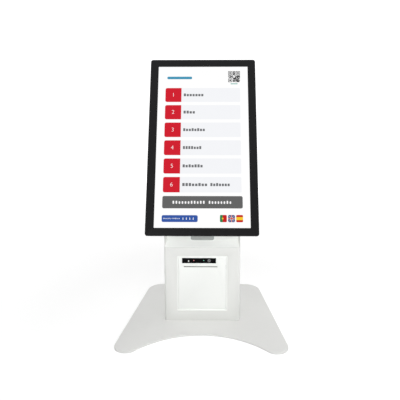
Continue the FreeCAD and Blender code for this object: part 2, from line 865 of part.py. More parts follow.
def make_arm_screws():
    screws = []
    for index, (x, z) in enumerate(arm_screw_spots()):
        head = rod(f"arm_head_{index}", (x, arm_front_y - 2, z), d.vesa_screw * 1.8, 2, "y")
        shank = rod(f"arm_shank_{index}", (x, arm_front_y, z), d.vesa_screw,
                    d.arm_thick + d.sheet_thick + 3, "y")
        screws.append(fuse(f"arm_screw_{index}", [head, shank]))
    lean(group("arm_screws", screws))


def make_tilt_pin():
    reach = d.ear_inside + d.ear_thick * 2 + d.washer_thick + d.side_gap * 2 + 3
    bar = rod("tilt_pin_bar", (-reach, hinge_y, screen_middle), d.tilt_pin, reach * 2, "x")
    lean(group("tilt_pin", [bar]))


def make_tilt_washers():
    start = d.ear_inside + d.ear_thick
    washers = []
    for index, low in enumerate((start, -start - d.washer_thick)):
        disc = rod(f"washer_disc_{index}", (low, hinge_y, screen_middle), d.ear_round - 1,
                   d.washer_thick, "x")
        bore = rod(f"washer_bore_{index}", (low - 1, hinge_y, screen_middle), d.tilt_pin,
                   d.washer_thick + 2, "x")
        washers.append(cut(f"washer_{index}", disc, [bore]))
    lean(group("tilt_washers", washers))


def make_vesa_plate():
    body = new_body("vesa_plate")
    half = d.vesa_spacing / 2 + d.vesa_margin
    sketch = sketch_on(body, "XZ_Plane", -plateau_y)
    add_rectangle(sketch, -half, screen_middle - half, half, screen_middle + half)
    pad(body, sketch, d.vesa_plate_thick, reverse=True)
    spots = [(sign * float(half), 0, screen_middle + other * half) for sign in (-1, 1) for other in (-1, 1)]
    round_edges(body, d.arm_round, corner_edges(Vector(0, 1, 0), spots))
    holes = sketch_on(body, "XZ_Plane", -plateau_y)
    for x, z in vesa_spots():
        add_circle(holes, x, z, d.vesa_screw + 0.2)
    pocket(body, holes, BIG, both=True)
    inner = d.ear_inside + d.ear_thick + d.washer_thick + d.moving_gap
    add_ears(body, inner, plateau_y + d.vesa_plate_thick, d.tilt_pin + d.running_gap)
    lean(body)


def vesa_spots():
    half = d.vesa_spacing / 2
    return [(side * half, screen_middle + up * half) for side in (-1, 1) for up in (-1, 1)]


def make_vesa_screws():
    screws = []
    face = plateau_y + d.vesa_plate_thick
    for index, (x, z) in enumerate(vesa_spots()):
        head = rod(f"vesa_head_{index}", (x, face, z), d.vesa_screw * 1.8, 2.2, "y")
        shank = rod(f"vesa_shank_{index}", (x, face - d.vesa_screw_long, z), d.vesa_screw,
                    d.vesa_screw_long, "y")
        screws.append(fuse(f"vesa_screw_{index}", [head, shank]))
    lean(group("vesa_screws", screws))


# ---------------------------------------------------------------------------------------------------
# Display
# ---------------------------------------------------------------------------------------------------

def screen_rectangle(sketch, inset, radius=None):
    half = d.screen_wide / 2 - inset
    if radius is None:
        add_rectangle(sketch, -half, 0 + inset, half, d.screen_tall - inset)
    else:
        add_rounded(sketch, -half, 0 + inset, half, d.screen_tall - inset, radius)


def make_touch_glass():
    body = new_body("touch_glass")
    sketch = sketch_on(body, "XZ_Plane")
    screen_rectangle(sketch, d.rim_wide + d.glass_gap, d.screen_round - d.rim_wide)
    pad(body, sketch, d.glass_thick, reverse=True)
    lean(body)


def make_display_frame():
    body = new_body("display_frame")
    sketch = sketch_on(body, "XZ_Plane")
    screen_rectangle(sketch, 0, d.screen_round)
    pad(body, sketch, d.frame_deep, reverse=True)
    rebate = sketch_on(body, "XZ_Plane")
    screen_rectangle(rebate, d.rim_wide, d.screen_round - d.rim_wide)
    pocket(body, rebate, d.glass_thick)
    bay = sketch_on(body, "XZ_Plane")
    screen_rectangle(bay, d.frame_side)
    pocket(body, bay, d.glass_thick + d.panel_thick)
    back = sketch_on(body, "XZ_Plane")
    screen_rectangle(back, d.frame_border)
    pocket(body, back, d.frame_deep + 1)
    holes = sketch_on(body, "XZ_Plane")
    for x, z in housing_screw_spots():
        add_circle(holes, x, z, d.small_screw)
    pocket(body, holes, d.frame_deep + 1)
    lean(body)


def make_lcd_panel():
    body = new_body("lcd_panel")
    sketch = sketch_on(body, "XZ_Plane", -d.glass_thick)
    half = d.panel_wide / 2
    add_rectangle(sketch, -half, screen_middle - d.panel_tall / 2, half, screen_middle + d.panel_tall / 2)
    pad(body, sketch, d.panel_thick, reverse=True)
    lean(body)


def housing_screw_spots():
    side = d.screen_wide / 2 - d.housing_inset - d.housing_brim_wide / 2
    edge = d.housing_inset + d.housing_brim_wide / 2
    heights = (d.housing_screw_inset, screen_middle, d.screen_tall - d.housing_screw_inset)
    spots = [(sign * side, z) for sign in (-1, 1) for z in heights]
    return spots + [(0, edge), (0, d.screen_tall - edge)]


def make_rear_housing():
    """A dished cover: flat brim, sloped sides and a level back with vents, bosses and cut-outs."""
    body = new_body("rear_housing")
    brim_top = d.frame_deep + d.housing_brim
    brim = sketch_on(body, "XZ_Plane", -d.frame_deep)
    screen_rectangle(brim, d.housing_inset, d.housing_round)
    pad(body, brim, d.housing_brim, reverse=True)
    for kind, wall, low_y in (("PartDesign::AdditiveLoft", 0, brim_top),
                              ("PartDesign::SubtractiveLoft", d.housing_wall, d.frame_deep)):
        wide = sketch_on(body, "XZ_Plane", -low_y)
        screen_rectangle(wide, d.housing_inset + d.housing_brim_wide + wall, d.housing_round)
        narrow = sketch_on(body, "XZ_Plane", -(plateau_y - wall))
        screen_rectangle(narrow, d.housing_inset + d.housing_brim_wide + d.housing_slope + wall,
                         d.housing_round)
        loft = body.newObject(kind, body.Name + "_loft")
        loft.Profile = wide
        loft.Sections = [narrow]
        loft.Ruled = True
        doc.recompute()
    bosses = sketch_on(body, "XZ_Plane", -(plateau_y - d.housing_wall))
    for x, z in vesa_spots():
        add_circle(bosses, x, z, d.vesa_boss)
    pad(body, bosses, d.vesa_boss * 1.6)
    bores = sketch_on(body, "XZ_Plane", -plateau_y)
    for x, z in vesa_spots():
        add_circle(bores, x, z, d.vesa_screw)
    pocket(body, bores, d.housing_wall + d.vesa_boss * 1.6, reverse=True)
    holes = sketch_on(body, "XZ_Plane", -brim_top)
    for x, z in housing_screw_spots():
        add_circle(holes, x, z, d.small_screw)
    add_circle(holes, d.button_side, d.button_high, d.button_radius + 0.3)
    add_rectangle(holes, -d.port_wide / 2, d.port_high - d.port_tall / 2,
                  d.port_wide / 2, d.port_high + d.port_tall / 2)
    pocket(body, holes, BIG, both=True)
    vent = sketch_on(body, "XZ_Plane", -plateau_y)
    row_start = -d.vent_step * (d.vent_count - 1) / 2 - d.vent_wide / 2
    vent_low = d.screen_tall - d.housing_inset - d.housing_brim_wide - d.housing_slope - 16 - d.vent_tall
    add_rectangle(vent, row_start, vent_low, row_start + d.vent_wide, vent_low + d.vent_tall)
    slot = pocket(body, vent, d.housing_wall * 2, reverse=True)
    repeat(body, slot, "X_Axis", d.vent_step * (d.vent_count - 1), d.vent_count)
    lean(body)


def make_housing_screws():
    screws = []
    radius = d.small_screw
    face = d.frame_deep + d.housing_brim
    for index, (x, z) in enumerate(housing_screw_spots()):
        head = rod(f"housing_head_{index}", (x, face, z), radius * 1.9, 1.5, "y")
        shank = rod(f"housing_shank_{index}", (x, face - d.housing_screw_long, z), radius,
                    d.housing_screw_long, "y")
        screws.append(fuse(f"housing_screw_{index}", [head, shank]))
    lean(group("housing_screws", screws))


def make_display_board():
    """Controller board on pillars behind the panel: heat sink, chips, sockets and the button's switch."""
    low_y = d.glass_thick + d.panel_thick
    board_y = low_y + d.board_gap
    face = board_y + d.board_thick
    half = d.board_wide / 2
    middle_z = d.board_low + d.board_tall / 2
    parts = [box("board_sheet", (-half, board_y, d.board_low), (d.board_wide, d.board_thick, d.board_tall))]
    reach = d.board_tall / 2 - 8
    for index, (x, z) in enumerate([(x, z) for x in (-1, 1) for z in (-1, 1)]):
        parts.append(rod(f"board_pillar_{index}", (x * (half - 6), low_y, middle_z + z * reach), 3,
                         d.board_gap, "y"))
    sink_z = d.board_low + 106
    parts.append(box("board_sink", (-22, face, sink_z), (44, 2, 36)))
    for index in range(6):
        parts.append(box(f"board_fin_{index}", (-22 + index * 8.4, face + 2, sink_z), (2, 5, 36)))
    for index, (x, z) in enumerate(((-66, 84), (-60, 140), (36, 70), (-30, 60))):
        parts.append(box(f"board_chip_{index}", (x, face, d.board_low + z), (14, 1.5, 14)))
    switch_long = plateau_y - d.housing_wall - 2 - d.button_travel - 0.2 - face
    parts.append(rod("board_switch", (d.button_side, face, d.button_high), 2.5, switch_long, "y"))
    gap = 0.3
    bar = box("port_bar", (-d.port_wide / 2 + gap, face, d.port_high - d.port_tall / 2 + gap),
              (d.port_wide - 2 * gap, plateau_y - 0.8 - face, d.port_tall - 2 * gap))
    holes = [box(f"port_{index}", (x, face + 2, d.port_high - 3), (wide, 12, 6))
             for index, (x, wide) in enumerate(((-28, 13), (-12, 15), (6, 9), (18, 10)))]
    parts.append(cut("port_block", bar, holes))
    lean(node(fuse("display_board", parts), "display_board"))


def make_display_button():
    inner_face = plateau_y - d.housing_wall
    rim = rod("button_rim", (d.button_side, inner_face - 2, d.button_high), d.button_radius + 1.5, 1.7, "y")
    cap = rod("button_cap", (d.button_side, inner_face - 2, d.button_high), d.button_radius,
              d.housing_wall + 2 + d.button_proud, "y")
    lean(node(fuse("display_button", [rim, cap]), "display_button"))


# ---------------------------------------------------------------------------------------------------
# Ticket printer: front, door and chassis
# ---------------------------------------------------------------------------------------------------

def make_printer_bezel():
    """The raised border and the sleeve behind it, with screw bosses and catches behind the sheet."""
    body = new_body("printer_bezel")
    border = sketch_on(body, "XZ_Plane", d.column_front)
    add_rounded(border, -bezel_half, bezel_low, bezel_half, bezel_high, 2.5)
    pad(body, border, d.printer_proud)
    sleeve = sketch_on(body, "XZ_Plane", d.column_front)
    add_rectangle(sleeve, -sleeve_half, opening_low - d.bezel_wall, sleeve_half, opening_high + d.bezel_wall)
    pad(body, sleeve, d.bezel_deep, reverse=True)
    catches = sketch_on(body, "XZ_Plane", -front_inside)
    for low, high in ((opening_high, opening_high + d.bezel_wall + d.cutout_gap + d.catch_tab),
                      (opening_low - d.bezel_wall - d.cutout_gap - d.catch_tab, opening_low)):
        for x in (-40, 28):
            add_rectangle(catches, x, low, x + 12, high)
    pad(body, catches, 3, reverse=True)
    opening = sketch_on(body, "XZ_Plane")
    add_rounded(opening, -opening_half, opening_low, opening_half, opening_high, 1.0)
    pocket(body, opening, BIG, both=True)
    bosses = sketch_on(body, "XZ_Plane", -bezel_back)
    for x, z in bezel_boss_spots():
        low, high = sorted((x, opening_half * (1 if float(x) > 0 else -1)), key=float)
        add_rectangle(bosses, low - 3 if float(x) > 0 else low, z - 3,
                      high if float(x) > 0 else high + 3, z + 3)
    pad(body, bosses, d.bezel_deep - 7)
    bores = sketch_on(body, "XZ_Plane", -bezel_back)
    for x, z in bezel_boss_spots():
        add_circle(bores, x, z, 1.3)
    pocket(body, bores, 6, reverse=True)
    pins = sketch_on(body, "YZ_Plane")
    add_circle(pins, door_axis_y, door_axis_z, d.door_pin)
    pocket(body, pins, BIG, both=True)
    round_edges(body, 0.5, lambda edge: abs(edge.BoundBox.YMin - float(bezel_face)) < 1e-4
                and abs(edge.BoundBox.YMax - float(bezel_face)) < 1e-4)


def bezel_boss_spots():
    side = opening_half - 4.3
    return [(sign * side, z) for sign in (-1, 1) for z in (d.chassis_low + 4.5, d.chassis_top - 4.5)]


def make_printer_door():
    """The white front panel: rolled lower edge, window rebate, ticket slit and the platen's ears."""
    body = new_body("printer_door")
    profile = sketch_on(body, "YZ_Plane")
    add_rectangle(profile, door_face, door_axis_z, door_inside, door_high)
    pad(body, profile, door_half * 2, both=True)
    barrel = sketch_on(body, "YZ_Plane")
    add_circle(barrel, door_axis_y, door_axis_z, d.door_barrel)
    pad(body, barrel, door_half * 2, both=True)
    pins = sketch_on(body, "YZ_Plane")
    add_circle(pins, door_axis_y, door_axis_z, d.door_pin + d.running_gap)
    pocket(body, pins, BIG, both=True)
    cut_window_and_slit(body)
    add_platen_ears(body)
    posts = sketch_on(body, "XZ_Plane", -door_inside)
    for x in indicator_posts():
        add_circle(posts, x, indicator_z(), 1.5)
    pad(body, posts, indicator_y() - door_inside, reverse=True)


def cut_window_and_slit(body):
    """A rebate for the window with a smaller hole behind it, and the ticket slit under it."""
    window = sketch_on(body, "XZ_Plane", -door_face)
    add_rectangle(window, -d.window_left, d.window_low, d.window_wide - d.window_left,
                  d.window_low + d.window_tall)
    pocket(body, window, d.window_thick)
    light = sketch_on(body, "XZ_Plane", -door_face)
    add_rectangle(light, d.window_ledge - d.window_left, d.window_low + d.window_ledge,
                  d.window_wide - d.window_left - d.window_ledge,
                  d.window_low + d.window_tall - d.window_ledge)
    add_rectangle(light, middle_x - d.slit_wide / 2, d.slit_high - d.slit_tall / 2,
                  middle_x + d.slit_wide / 2, d.slit_high + d.slit_tall / 2)
    pocket(body, light, d.door_thick + 1)


def add_platen_ears(body):
    """Two ears behind the door that carry the platen's shaft and the fixed blade."""
    ears = sketch_on(body, "YZ_Plane", middle_x)
    blade_seat = d.blade_low + d.blade_thick + d.blade_gap
    add_outline(ears, [(door_inside, d.platen_z - 22), (platen_axis_y - 1, d.platen_z - 5),
                       (platen_axis_y + 5, d.platen_z - 5), (platen_axis_y + 5, blade_seat),
                       (door_inside, blade_seat)])
    pad(body, ears, ear_outer * 2, both=True)
    between = sketch_on(body, "YZ_Plane", middle_x)
    add_rectangle(between, door_inside, d.platen_z - 23, platen_axis_y + 6, blade_seat + 1)
    pocket(body, between, ear_inner * 2, both=True)
    bearings = sketch_on(body, "YZ_Plane", middle_x)
    add_circle(bearings, platen_axis_y, d.platen_z, d.platen_shaft + d.running_gap)
    pocket(body, bearings, ear_outer * 2 + 1, both=True)


def indicator_y():
    return door_face + d.window_thick + d.led_long


def indicator_z():
    return d.window_low + d.window_tall / 2


def indicator_posts():
    return [d.window_ledge / 2 - d.window_left - 1.5, d.window_wide - d.window_left + 1.5]


def make_status_window():
    body = new_body("status_window")
    sketch = sketch_on(body, "XZ_Plane", -door_face)
    gap = d.side_gap
    add_rectangle(sketch, gap - d.window_left, d.window_low + gap,
                  d.window_wide - d.window_left - gap, d.window_low + d.window_tall - gap)
    pad(body, sketch, d.window_thick, reverse=True)


def make_indicators():
    start = door_face + d.window_thick
    for name, x in (("led_red", -d.led_red_side), ("led_green", d.led_green_side)):
        lens = rod(name + "_lens", (x, start, indicator_z() + 0.6), d.led_radius, d.led_long, "y")
        collar = rod(name + "_collar", (x, start + d.led_long - 1, indicator_z() + 0.6),
                     d.led_radius + 0.4, 1, "y")
        node(fuse(name, [lens, collar]), name)
    left, right = indicator_posts()
    thick, tall = d.led_board_thick, d.led_board_tall
    board = box("indicator_sheet", (left - 2, indicator_y(), indicator_z() - tall / 2),
                (right - left + 4, thick, tall))
    plug = box("indicator_plug", (-18, indicator_y() + thick, indicator_z() - 3), (12, 4, 6))
    node(fuse("indicator_board", [board, plug]), "indicator_board")


def make_door_pins():
    long = 9.0
    group("door_pins", [rod(f"door_pin_{index}", (x, door_axis_y, door_axis_z), d.door_pin, long, "x")
                        for index, x in enumerate((-sleeve_half, sleeve_half - long))])


def make_door_catch():
    """A magnet on the bezel's wall and the steel striker on the door that it holds."""
    low_z, tall = 136.0, 9.0
    wide = opening_half - 50.5
    node(box("striker_plate", (50.5, door_inside, low_z), (wide - 1, 0.6, tall)), "striker_plate")
    start = door_inside + 0.6 + d.moving_gap
    node(box("door_magnet", (50.5, start, low_z), (wide, 8, tall)), "door_magnet")


def make_printer_chassis():
    """Folded tray: two side plates, floor and back, with screw tabs that meet the bezel's bosses."""
    body = new_body("printer_chassis")
    side = sketch_on(body, "YZ_Plane", middle_x)
    add_outline(side, [(bezel_back, d.chassis_low), (bezel_back, d.chassis_low + 11),
                       (chassis_front, d.chassis_low + 11), (chassis_front, d.chassis_top - 10),
                       (bezel_back, d.chassis_top - 10), (bezel_back, d.chassis_top),
                       (chassis_front + 45, d.chassis_top), (chassis_back, d.chassis_top - 30),
                       (chassis_back, d.chassis_low)])
    pad(body, side, d.chassis_half * 2, both=True)
    inner = sketch_on(body, "YZ_Plane", middle_x)
    add_rectangle(inner, bezel_back - 1, d.chassis_low + d.chassis_sheet,
                  chassis_back - d.chassis_sheet, d.chassis_top + 1)
    pocket(body, inner, chassis_inner * 2, both=True)
    tabs = sketch_on(body, "XZ_Plane", -bezel_back)
    for x, z in bezel_boss_spots():
        left = float(x) < 0
        low_x = -opening_half + 0.5 if left else chassis_right - d.chassis_sheet
        high_x = chassis_left + d.chassis_sheet if left else opening_half - 0.5
        add_rectangle(tabs, low_x, z - 4.5, high_x, z + 4.5)
    pad(body, tabs, d.chassis_sheet, reverse=True)
    holes = sketch_on(body, "XZ_Plane", -bezel_back)
    for x, z in bezel_boss_spots():
        add_circle(holes, x, z, 1.5)
    pocket(body, holes, d.chassis_sheet)
    bores = sketch_on(body, "YZ_Plane")
    add_circle(bores, d.roll_y, d.roll_z, d.spindle_radius)
    pocket(body, bores, BIG, both=True)


def make_printer_screws():
    screws = []
    for index, (x, z) in enumerate(bezel_boss_spots()):
        head = rod(f"printer_head_{index}", (x, bezel_back + d.chassis_sheet, z), 2.6, 1.8, "y")
        shank = rod(f"printer_shank_{index}", (x, bezel_back - 5, z), 1.3, d.chassis_sheet + 5, "y")
        screws.append(fuse(f"printer_screw_{index}", [head, shank]))
    group("printer_screws", screws)


def make_paper():
    left = middle_x - d.roll_wide / 2
    roll = rod("roll_outer", (left, d.roll_y, d.roll_z), d.roll_radius, d.roll_wide, "x")
    core_space = rod("roll_inner", (left - 1, d.roll_y, d.roll_z), d.core_radius, d.roll_wide + 2, "x")
    node(cut("paper_roll", roll, [core_space]), "paper_roll")
    core = rod("core_outer", (left, d.roll_y, d.roll_z), d.core_radius, d.roll_wide, "x")
    bore = rod("core_inner", (left - 1, d.roll_y, d.roll_z), d.spindle_radius + d.running_gap,
               d.roll_wide + 2, "x")
    node(cut("roll_core", core, [bore]), "roll_core")
    ends = 1.0
    spindle = rod("roll_spindle", (chassis_left - ends, d.roll_y, d.roll_z), d.spindle_radius,
                  d.chassis_half * 2 + 2 * ends, "x")
    node(spindle, "roll_spindle")


# ---------------------------------------------------------------------------------------------------
# Ticket printer: platen, gears, head and cutter
# ---------------------------------------------------------------------------------------------------

def gear_outline(teeth, spread):
    """Corner points of a spur gear with involute flanks, a tooth centred on the first axis."""
    module, pressure = float(d.gear_module), math.radians(float(d.pressure_angle))
    pitch = teeth * module / 2
    base, root, tip = pitch * math.cos(pressure), pitch - 1.2 * module, pitch + 0.9 * module
    half_tooth = math.pi / (2 * teeth) - spread / (2 * pitch)
    steps = 3
    first = max(base, root)
    flank = []
    for step in range(steps + 1):
        radius = first + (tip - first) * step / steps
        roll = math.acos(min(1.0, base / radius))
        turn = half_tooth + math.tan(pressure) - pressure - math.tan(roll) + roll
        flank.append((radius, turn))
    if root < base:
        flank.insert(0, (root, flank[0][1]))
    points = []
    for tooth in range(teeth):
        middle = 2 * math.pi * tooth / teeth
        for radius, turn in flank:
            points.append((radius, middle - turn))
        for radius, turn in reversed(flank):
            points.append((radius, middle + turn))
    return [Vector(r * math.cos(a), r * math.sin(a), 0) for r, a in points]


def gear_solid(teeth, wide, bore):
    points = gear_outline(teeth, float(d.gear_slack))
    face = Part.Face(Part.makePolygon(points + points[:1]))
    solid = face.extrude(Vector(0, 0, wide))
    return solid.cut(Part.makeCylinder(bore, wide, Vector(0, 0, 0))) if bore else solid


def gear_placement(x, y, z, degrees):
    """Gear axis along +X; degrees turn the first tooth from +Y towards +Z."""
    return Placement(Vector(float(x), float(y), float(z)),
                     TURN_TO_X.multiply(Rotation(Vector(0, 0, 1), degrees)))


def make_gears():
    """Platen gear, idler and motor pinion, each turned so that its teeth mesh at rest."""
    platen_n, idler_n, pinion_n = (int(float(v)) for v in (d.platen_teeth, d.idler_teeth, d.pinion_teeth))
    wide = float(d.gear_wide)
    solid_piece("platen_gear", gear_solid(platen_n, wide, float(d.platen_shaft)),
                gear_placement(gear_x, platen_axis_y, d.platen_z, 0))
    idler_turn = 180.0 + 180.0 / idler_n
    idler = gear_solid(idler_n, wide, float(d.post_radius + d.running_gap))
    solid_piece("idler_gear", idler, gear_placement(gear_x, idler_y, idler_z, idler_turn))
    to_pinion = -float(d.pinion_angle)
    behind = (to_pinion - idler_turn) % (360.0 / idler_n)
    gap_angle = to_pinion + 180.0 + behind * idler_n / pinion_n
    shaft_long = float(motor_x - gear_x) + 4.0
    pinion = gear_solid(pinion_n, wide, 0).fuse(Part.makeCylinder(float(d.motor_shaft), shaft_long))
    solid_piece("motor_pinion", pinion.removeSplitter(),
                gear_placement(gear_x, pinion_y, pinion_z, gap_angle + 180.0 / pinion_n))


def make_platen():
    left = middle_x - d.platen_half
    rubber = rod("platen_rubber", (left, platen_axis_y, d.platen_z), d.platen_radius, d.platen_half * 2, "x")
    bore = rod("platen_bore", (left - 1, platen_axis_y, d.platen_z), d.platen_shaft,
               d.platen_half * 2 + 2, "x")
    node(cut("platen_roller", rubber, [bore]), "platen_roller")
    start = middle_x - ear_outer - 0.5
    shaft = rod("platen_shaft", (start, platen_axis_y, d.platen_z), d.platen_shaft,
                gear_x + d.gear_wide - start, "x")
    node(shaft, "platen_shaft")


def make_gear_plate():
    """Gear plate on four pillars, with the idler's post between it and the chassis."""
    low_y, low_z = idler_y - 13, pinion_z - 15
    wide_y, tall_z = pinion_y + 15 - low_y, idler_z + 18 - low_z
    parts = [box("gear_sheet", (gear_plate_x, low_y, low_z), (d.chassis_sheet, wide_y, tall_z))]
    corners = [(low_y + 3, low_z + 3), (low_y + wide_y - 3, low_z + 3),
               (low_y + wide_y - 3, low_z + tall_z - 3), (low_y + 3, low_z + tall_z - 3)]
    for index, (y, z) in enumerate(corners):
        parts.append(rod(f"gear_pillar_{index}", (chassis_right, y, z), 2.4, d.gear_space, "x"))
    parts.append(rod("post_bar", (chassis_right, idler_y, idler_z), d.post_radius, d.gear_space, "x"))
    parts.append(rod("post_collar", (chassis_right, idler_y, idler_z), d.post_radius + 1.5,
                     d.gear_side_gap - 0.3, "x"))
    shaft_hole = rod("gear_shaft_hole", (gear_plate_x - 1, pinion_y, pinion_z), d.motor_shaft + 1.5,
                     d.chassis_sheet + 2, "x")
    node(cut("gear_plate", fuse("gear_plate_body", parts), [shaft_hole]), "gear_plate")


def make_feed_motor():
    can = rod("motor_can", (motor_x, pinion_y, pinion_z), d.motor_radius, d.motor_long, "x")
    rear = rod("motor_rear", (motor_x + d.motor_long, pinion_y, pinion_z), d.motor_radius - 4, 2, "x")
    plug = box("motor_plug", (motor_x + d.motor_long - 8, pinion_y - 6, pinion_z - d.motor_radius - 3),
               (7, 12, 6))
    hole = rod("motor_hole", (motor_x - 1, pinion_y, pinion_z), d.motor_shaft + d.running_gap, 6, "x")
    node(cut("feed_motor", fuse("motor_body", [can, rear, plug]), [hole]), "feed_motor")


def make_print_head():
    face = platen_axis_y + d.platen_radius + d.blade_gap
    tall = d.head_high - d.head_low
    half = d.platen_half + 1.5
    ceramic = box("head_ceramic", (middle_x - half, face, d.head_low), (half * 2, 1, tall))
    sink = box("head_sink", (middle_x - half, face + 1, d.head_low), (half * 2, d.head_thick - 1, tall))
    node(fuse("thermal_head", [ceramic, sink]), "thermal_head")
    spring_start = face + d.head_thick
    bracket_y = spring_start + d.spring_long
    bracket = box("head_bracket", (middle_x - chassis_inner, bracket_y, d.head_low),
                  (chassis_inner * 2, d.bracket_thick, tall))
    node(bracket, "head_bracket")
    springs = []
    for index, side in enumerate((-1, 1)):
        coil = doc.addObject("Part::Feature", f"head_spring_{index}")
        coil.Shape = spring_solid()
        place(coil, (middle_x + side * 25, spring_start, d.head_low + tall / 2), TURN_TO_Y)
        springs.append(coil)
    group("head_springs", springs)


def spring_solid():
    """A compression spring of flat faces: six sides round the wire, ends resting on both planes."""
    wire, radius, turns = float(d.spring_wire), float(d.spring_radius), int(float(d.spring_turns))
    steps, sides = 10 * turns, 6
    climb = (float(d.spring_long) - 2 * wire) / steps
    rings = []
    for step in range(steps + 1):
        turn = 2 * math.pi * step / 10
        ring = []
        for side in range(sides):
            lift = math.pi / 2 + 2 * math.pi * side / sides
            out = radius + wire * math.cos(lift)
            ring.append(Vector(out * math.cos(turn), out * math.sin(turn),
                               wire + climb * step + wire * math.sin(lift)))
        rings.append(ring)
    triangles = []
    for low, high in zip(rings, rings[1:]):
        for side in range(sides):
            after = (side + 1) % sides
            triangles.append((low[side], low[after], high[after]))
            triangles.append((low[side], high[after], high[side]))
    faces = [Part.Face(Part.makePolygon(points + points[:1])) for points in (rings[0], rings[-1])]
    faces += [Part.Face(Part.makePolygon([a, b, c, a])) for a, b, c in triangles]
    shell = Part.Shell(faces)
    shell.sewShape()
    solid = Part.Solid(Part.Shell(shell.Faces))
    return solid if solid.Volume > 0 else solid.reversed()


def make_cutter_blade():
    """Sliding blade with a shallow V edge."""
    body = new_body("cutter_blade")
    shape = sketch_on(body, "XY_Plane", d.blade_low)
    front, back = -d.blade_front, d.blade_long - d.blade_front
    add_outline(shape, [(middle_x - d.blade_half, front), (middle_x, front + d.blade_notch),
                        (middle_x + d.blade_half, front), (middle_x + d.blade_half, back),
                        (middle_x - d.blade_half, back)])
    pad(body, shape, d.blade_thick)


def make_cutter_guide():
    body = new_body("cutter_guide")
    profile = sketch_on(body, "YZ_Plane", middle_x)
    add_rectangle(profile, guide_front, d.blade_low - 1.3, guide_back, guide_top)
    pad(body, profile, chassis_inner * 2, both=True)
    slot = sketch_on(body, "YZ_Plane", middle_x)
    add_rectangle(slot, guide_front - 1, d.blade_low - d.blade_gap, guide_back - 3,
                  d.blade_low + d.blade_thick + d.blade_gap)
    pocket(body, slot, (d.blade_half + d.blade_gap) * 2, both=True)


def make_fixed_blade():
    """Straight blade on top of the door's ears, bevelled along its rear edge."""
    body = new_body("fixed_blade")
    plate = sketch_on(body, "XY_Plane", d.blade_low + d.blade_thick + d.blade_gap)
    add_rectangle(plate, middle_x - ear_outer, door_inside + 2, middle_x + ear_outer, -d.fixed_blade_back)
    pad(body, plate, d.blade_thick)
    edge = (0, -d.fixed_blade_back, d.blade_low + d.blade_thick * 2 + d.blade_gap)
    round_edges(body, d.blade_thick * 0.6, corner_edges(Vector(1, 0, 0), [edge]), "PartDesign::Chamfer")


def make_cutter_motor():
    base = box("cutter_base", (middle_x - 40, guide_front + 2, guide_top), (36, 14, 8))
    can = rod("cutter_can", (middle_x - 40, guide_front + 9, guide_top + 8), 8, 26, "x")
    node(fuse("cutter_motor", [can, base]), "cutter_motor")


def make_printer_board():
    low_z, wide, tall = d.chassis_low + d.control_above, d.control_wide, d.control_tall
    board_y, inset = chassis_back + d.control_gap, 4
    board = box("printer_sheet", (middle_x - wide / 2, board_y, low_z), (wide, d.board_thick, tall))
    corners = [(sign * (wide / 2 - inset), z) for sign in (-1, 1) for z in (inset, tall - inset)]
    pillars = [rod(f"printer_pillar_{index}", (middle_x + x, chassis_back, low_z + z), 2.5, d.control_gap,
                   "y") for index, (x, z) in enumerate(corners)]
    face = board_y + d.board_thick
    chips = [box(f"printer_chip_{index}", (middle_x + x, face, low_z + z), size)
             for index, (x, z, size) in enumerate(((-26, 10, (12, 6, 9)), (-8, 22, (16, 1.6, 16)),
                                                   (16, 8, (10, 8, 22)), (-28, 42, (16, 5, 7))))]
    node(fuse("printer_board", [board] + pillars + chips), "printer_board")


# ---------------------------------------------------------------------------------------------------
# Rear of the column
# ---------------------------------------------------------------------------------------------------

def make_rear_door():
    """Service door: flat sheet with a stiffening rim inside and two rows of vents."""
    body = new_body("rear_door")
    sketch = sketch_on(body, "XZ_Plane", -(back_y + d.moving_gap))
    add_rounded(sketch, -door_side, d.rear_low, door_side, rear_high, 3)
    pad(body, sketch, d.rear_sheet, reverse=True)
    rim = sketch_on(body, "XZ_Plane", -(back_y + d.moving_gap))
    for inset in (d.rim_inset, d.rim_inset + d.rear_sheet):
        add_rectangle(rim, inset - door_side, d.rear_low + inset, door_side - inset, rear_high - inset)
    pad(body, rim, d.rim_deep)
    lock = sketch_on(body, "XZ_Plane", -rear_face)
    add_circle(lock, lock_side, d.lock_high, d.lock_radius)
    pocket(body, lock, d.rear_sheet, reverse=True)
    for low in (d.rear_low + 30, rear_high - 70):
        vent = sketch_on(body, "XZ_Plane", -rear_face)
        add_rectangle(vent, -45, low, -42, low + 40)
        repeat(body, pocket(body, vent, d.rear_sheet, reverse=True), "X_Axis", 90, 11)


def make_rear_hinges():
    """Two butt hinges: leaves with knuckles on the column's return and on the door, and their pins."""
    middles = (d.hinge_low, rear_high - d.hinge_drop)
    group("rear_hinge_fixed", [fixed_hinge(index, middle) for index, middle in enumerate(middles)])
    group("rear_hinge_moving", [moving_hinge(index, middle) for index, middle in enumerate(middles)])
    group("rear_hinge_pins", [rod(f"hinge_pin_{index}", (rear_axis_x, rear_axis_y, middle - leaf_half - 1),
                                  d.hinge_pin, leaf_half * 2 + 2) for index, middle in enumerate(middles)])


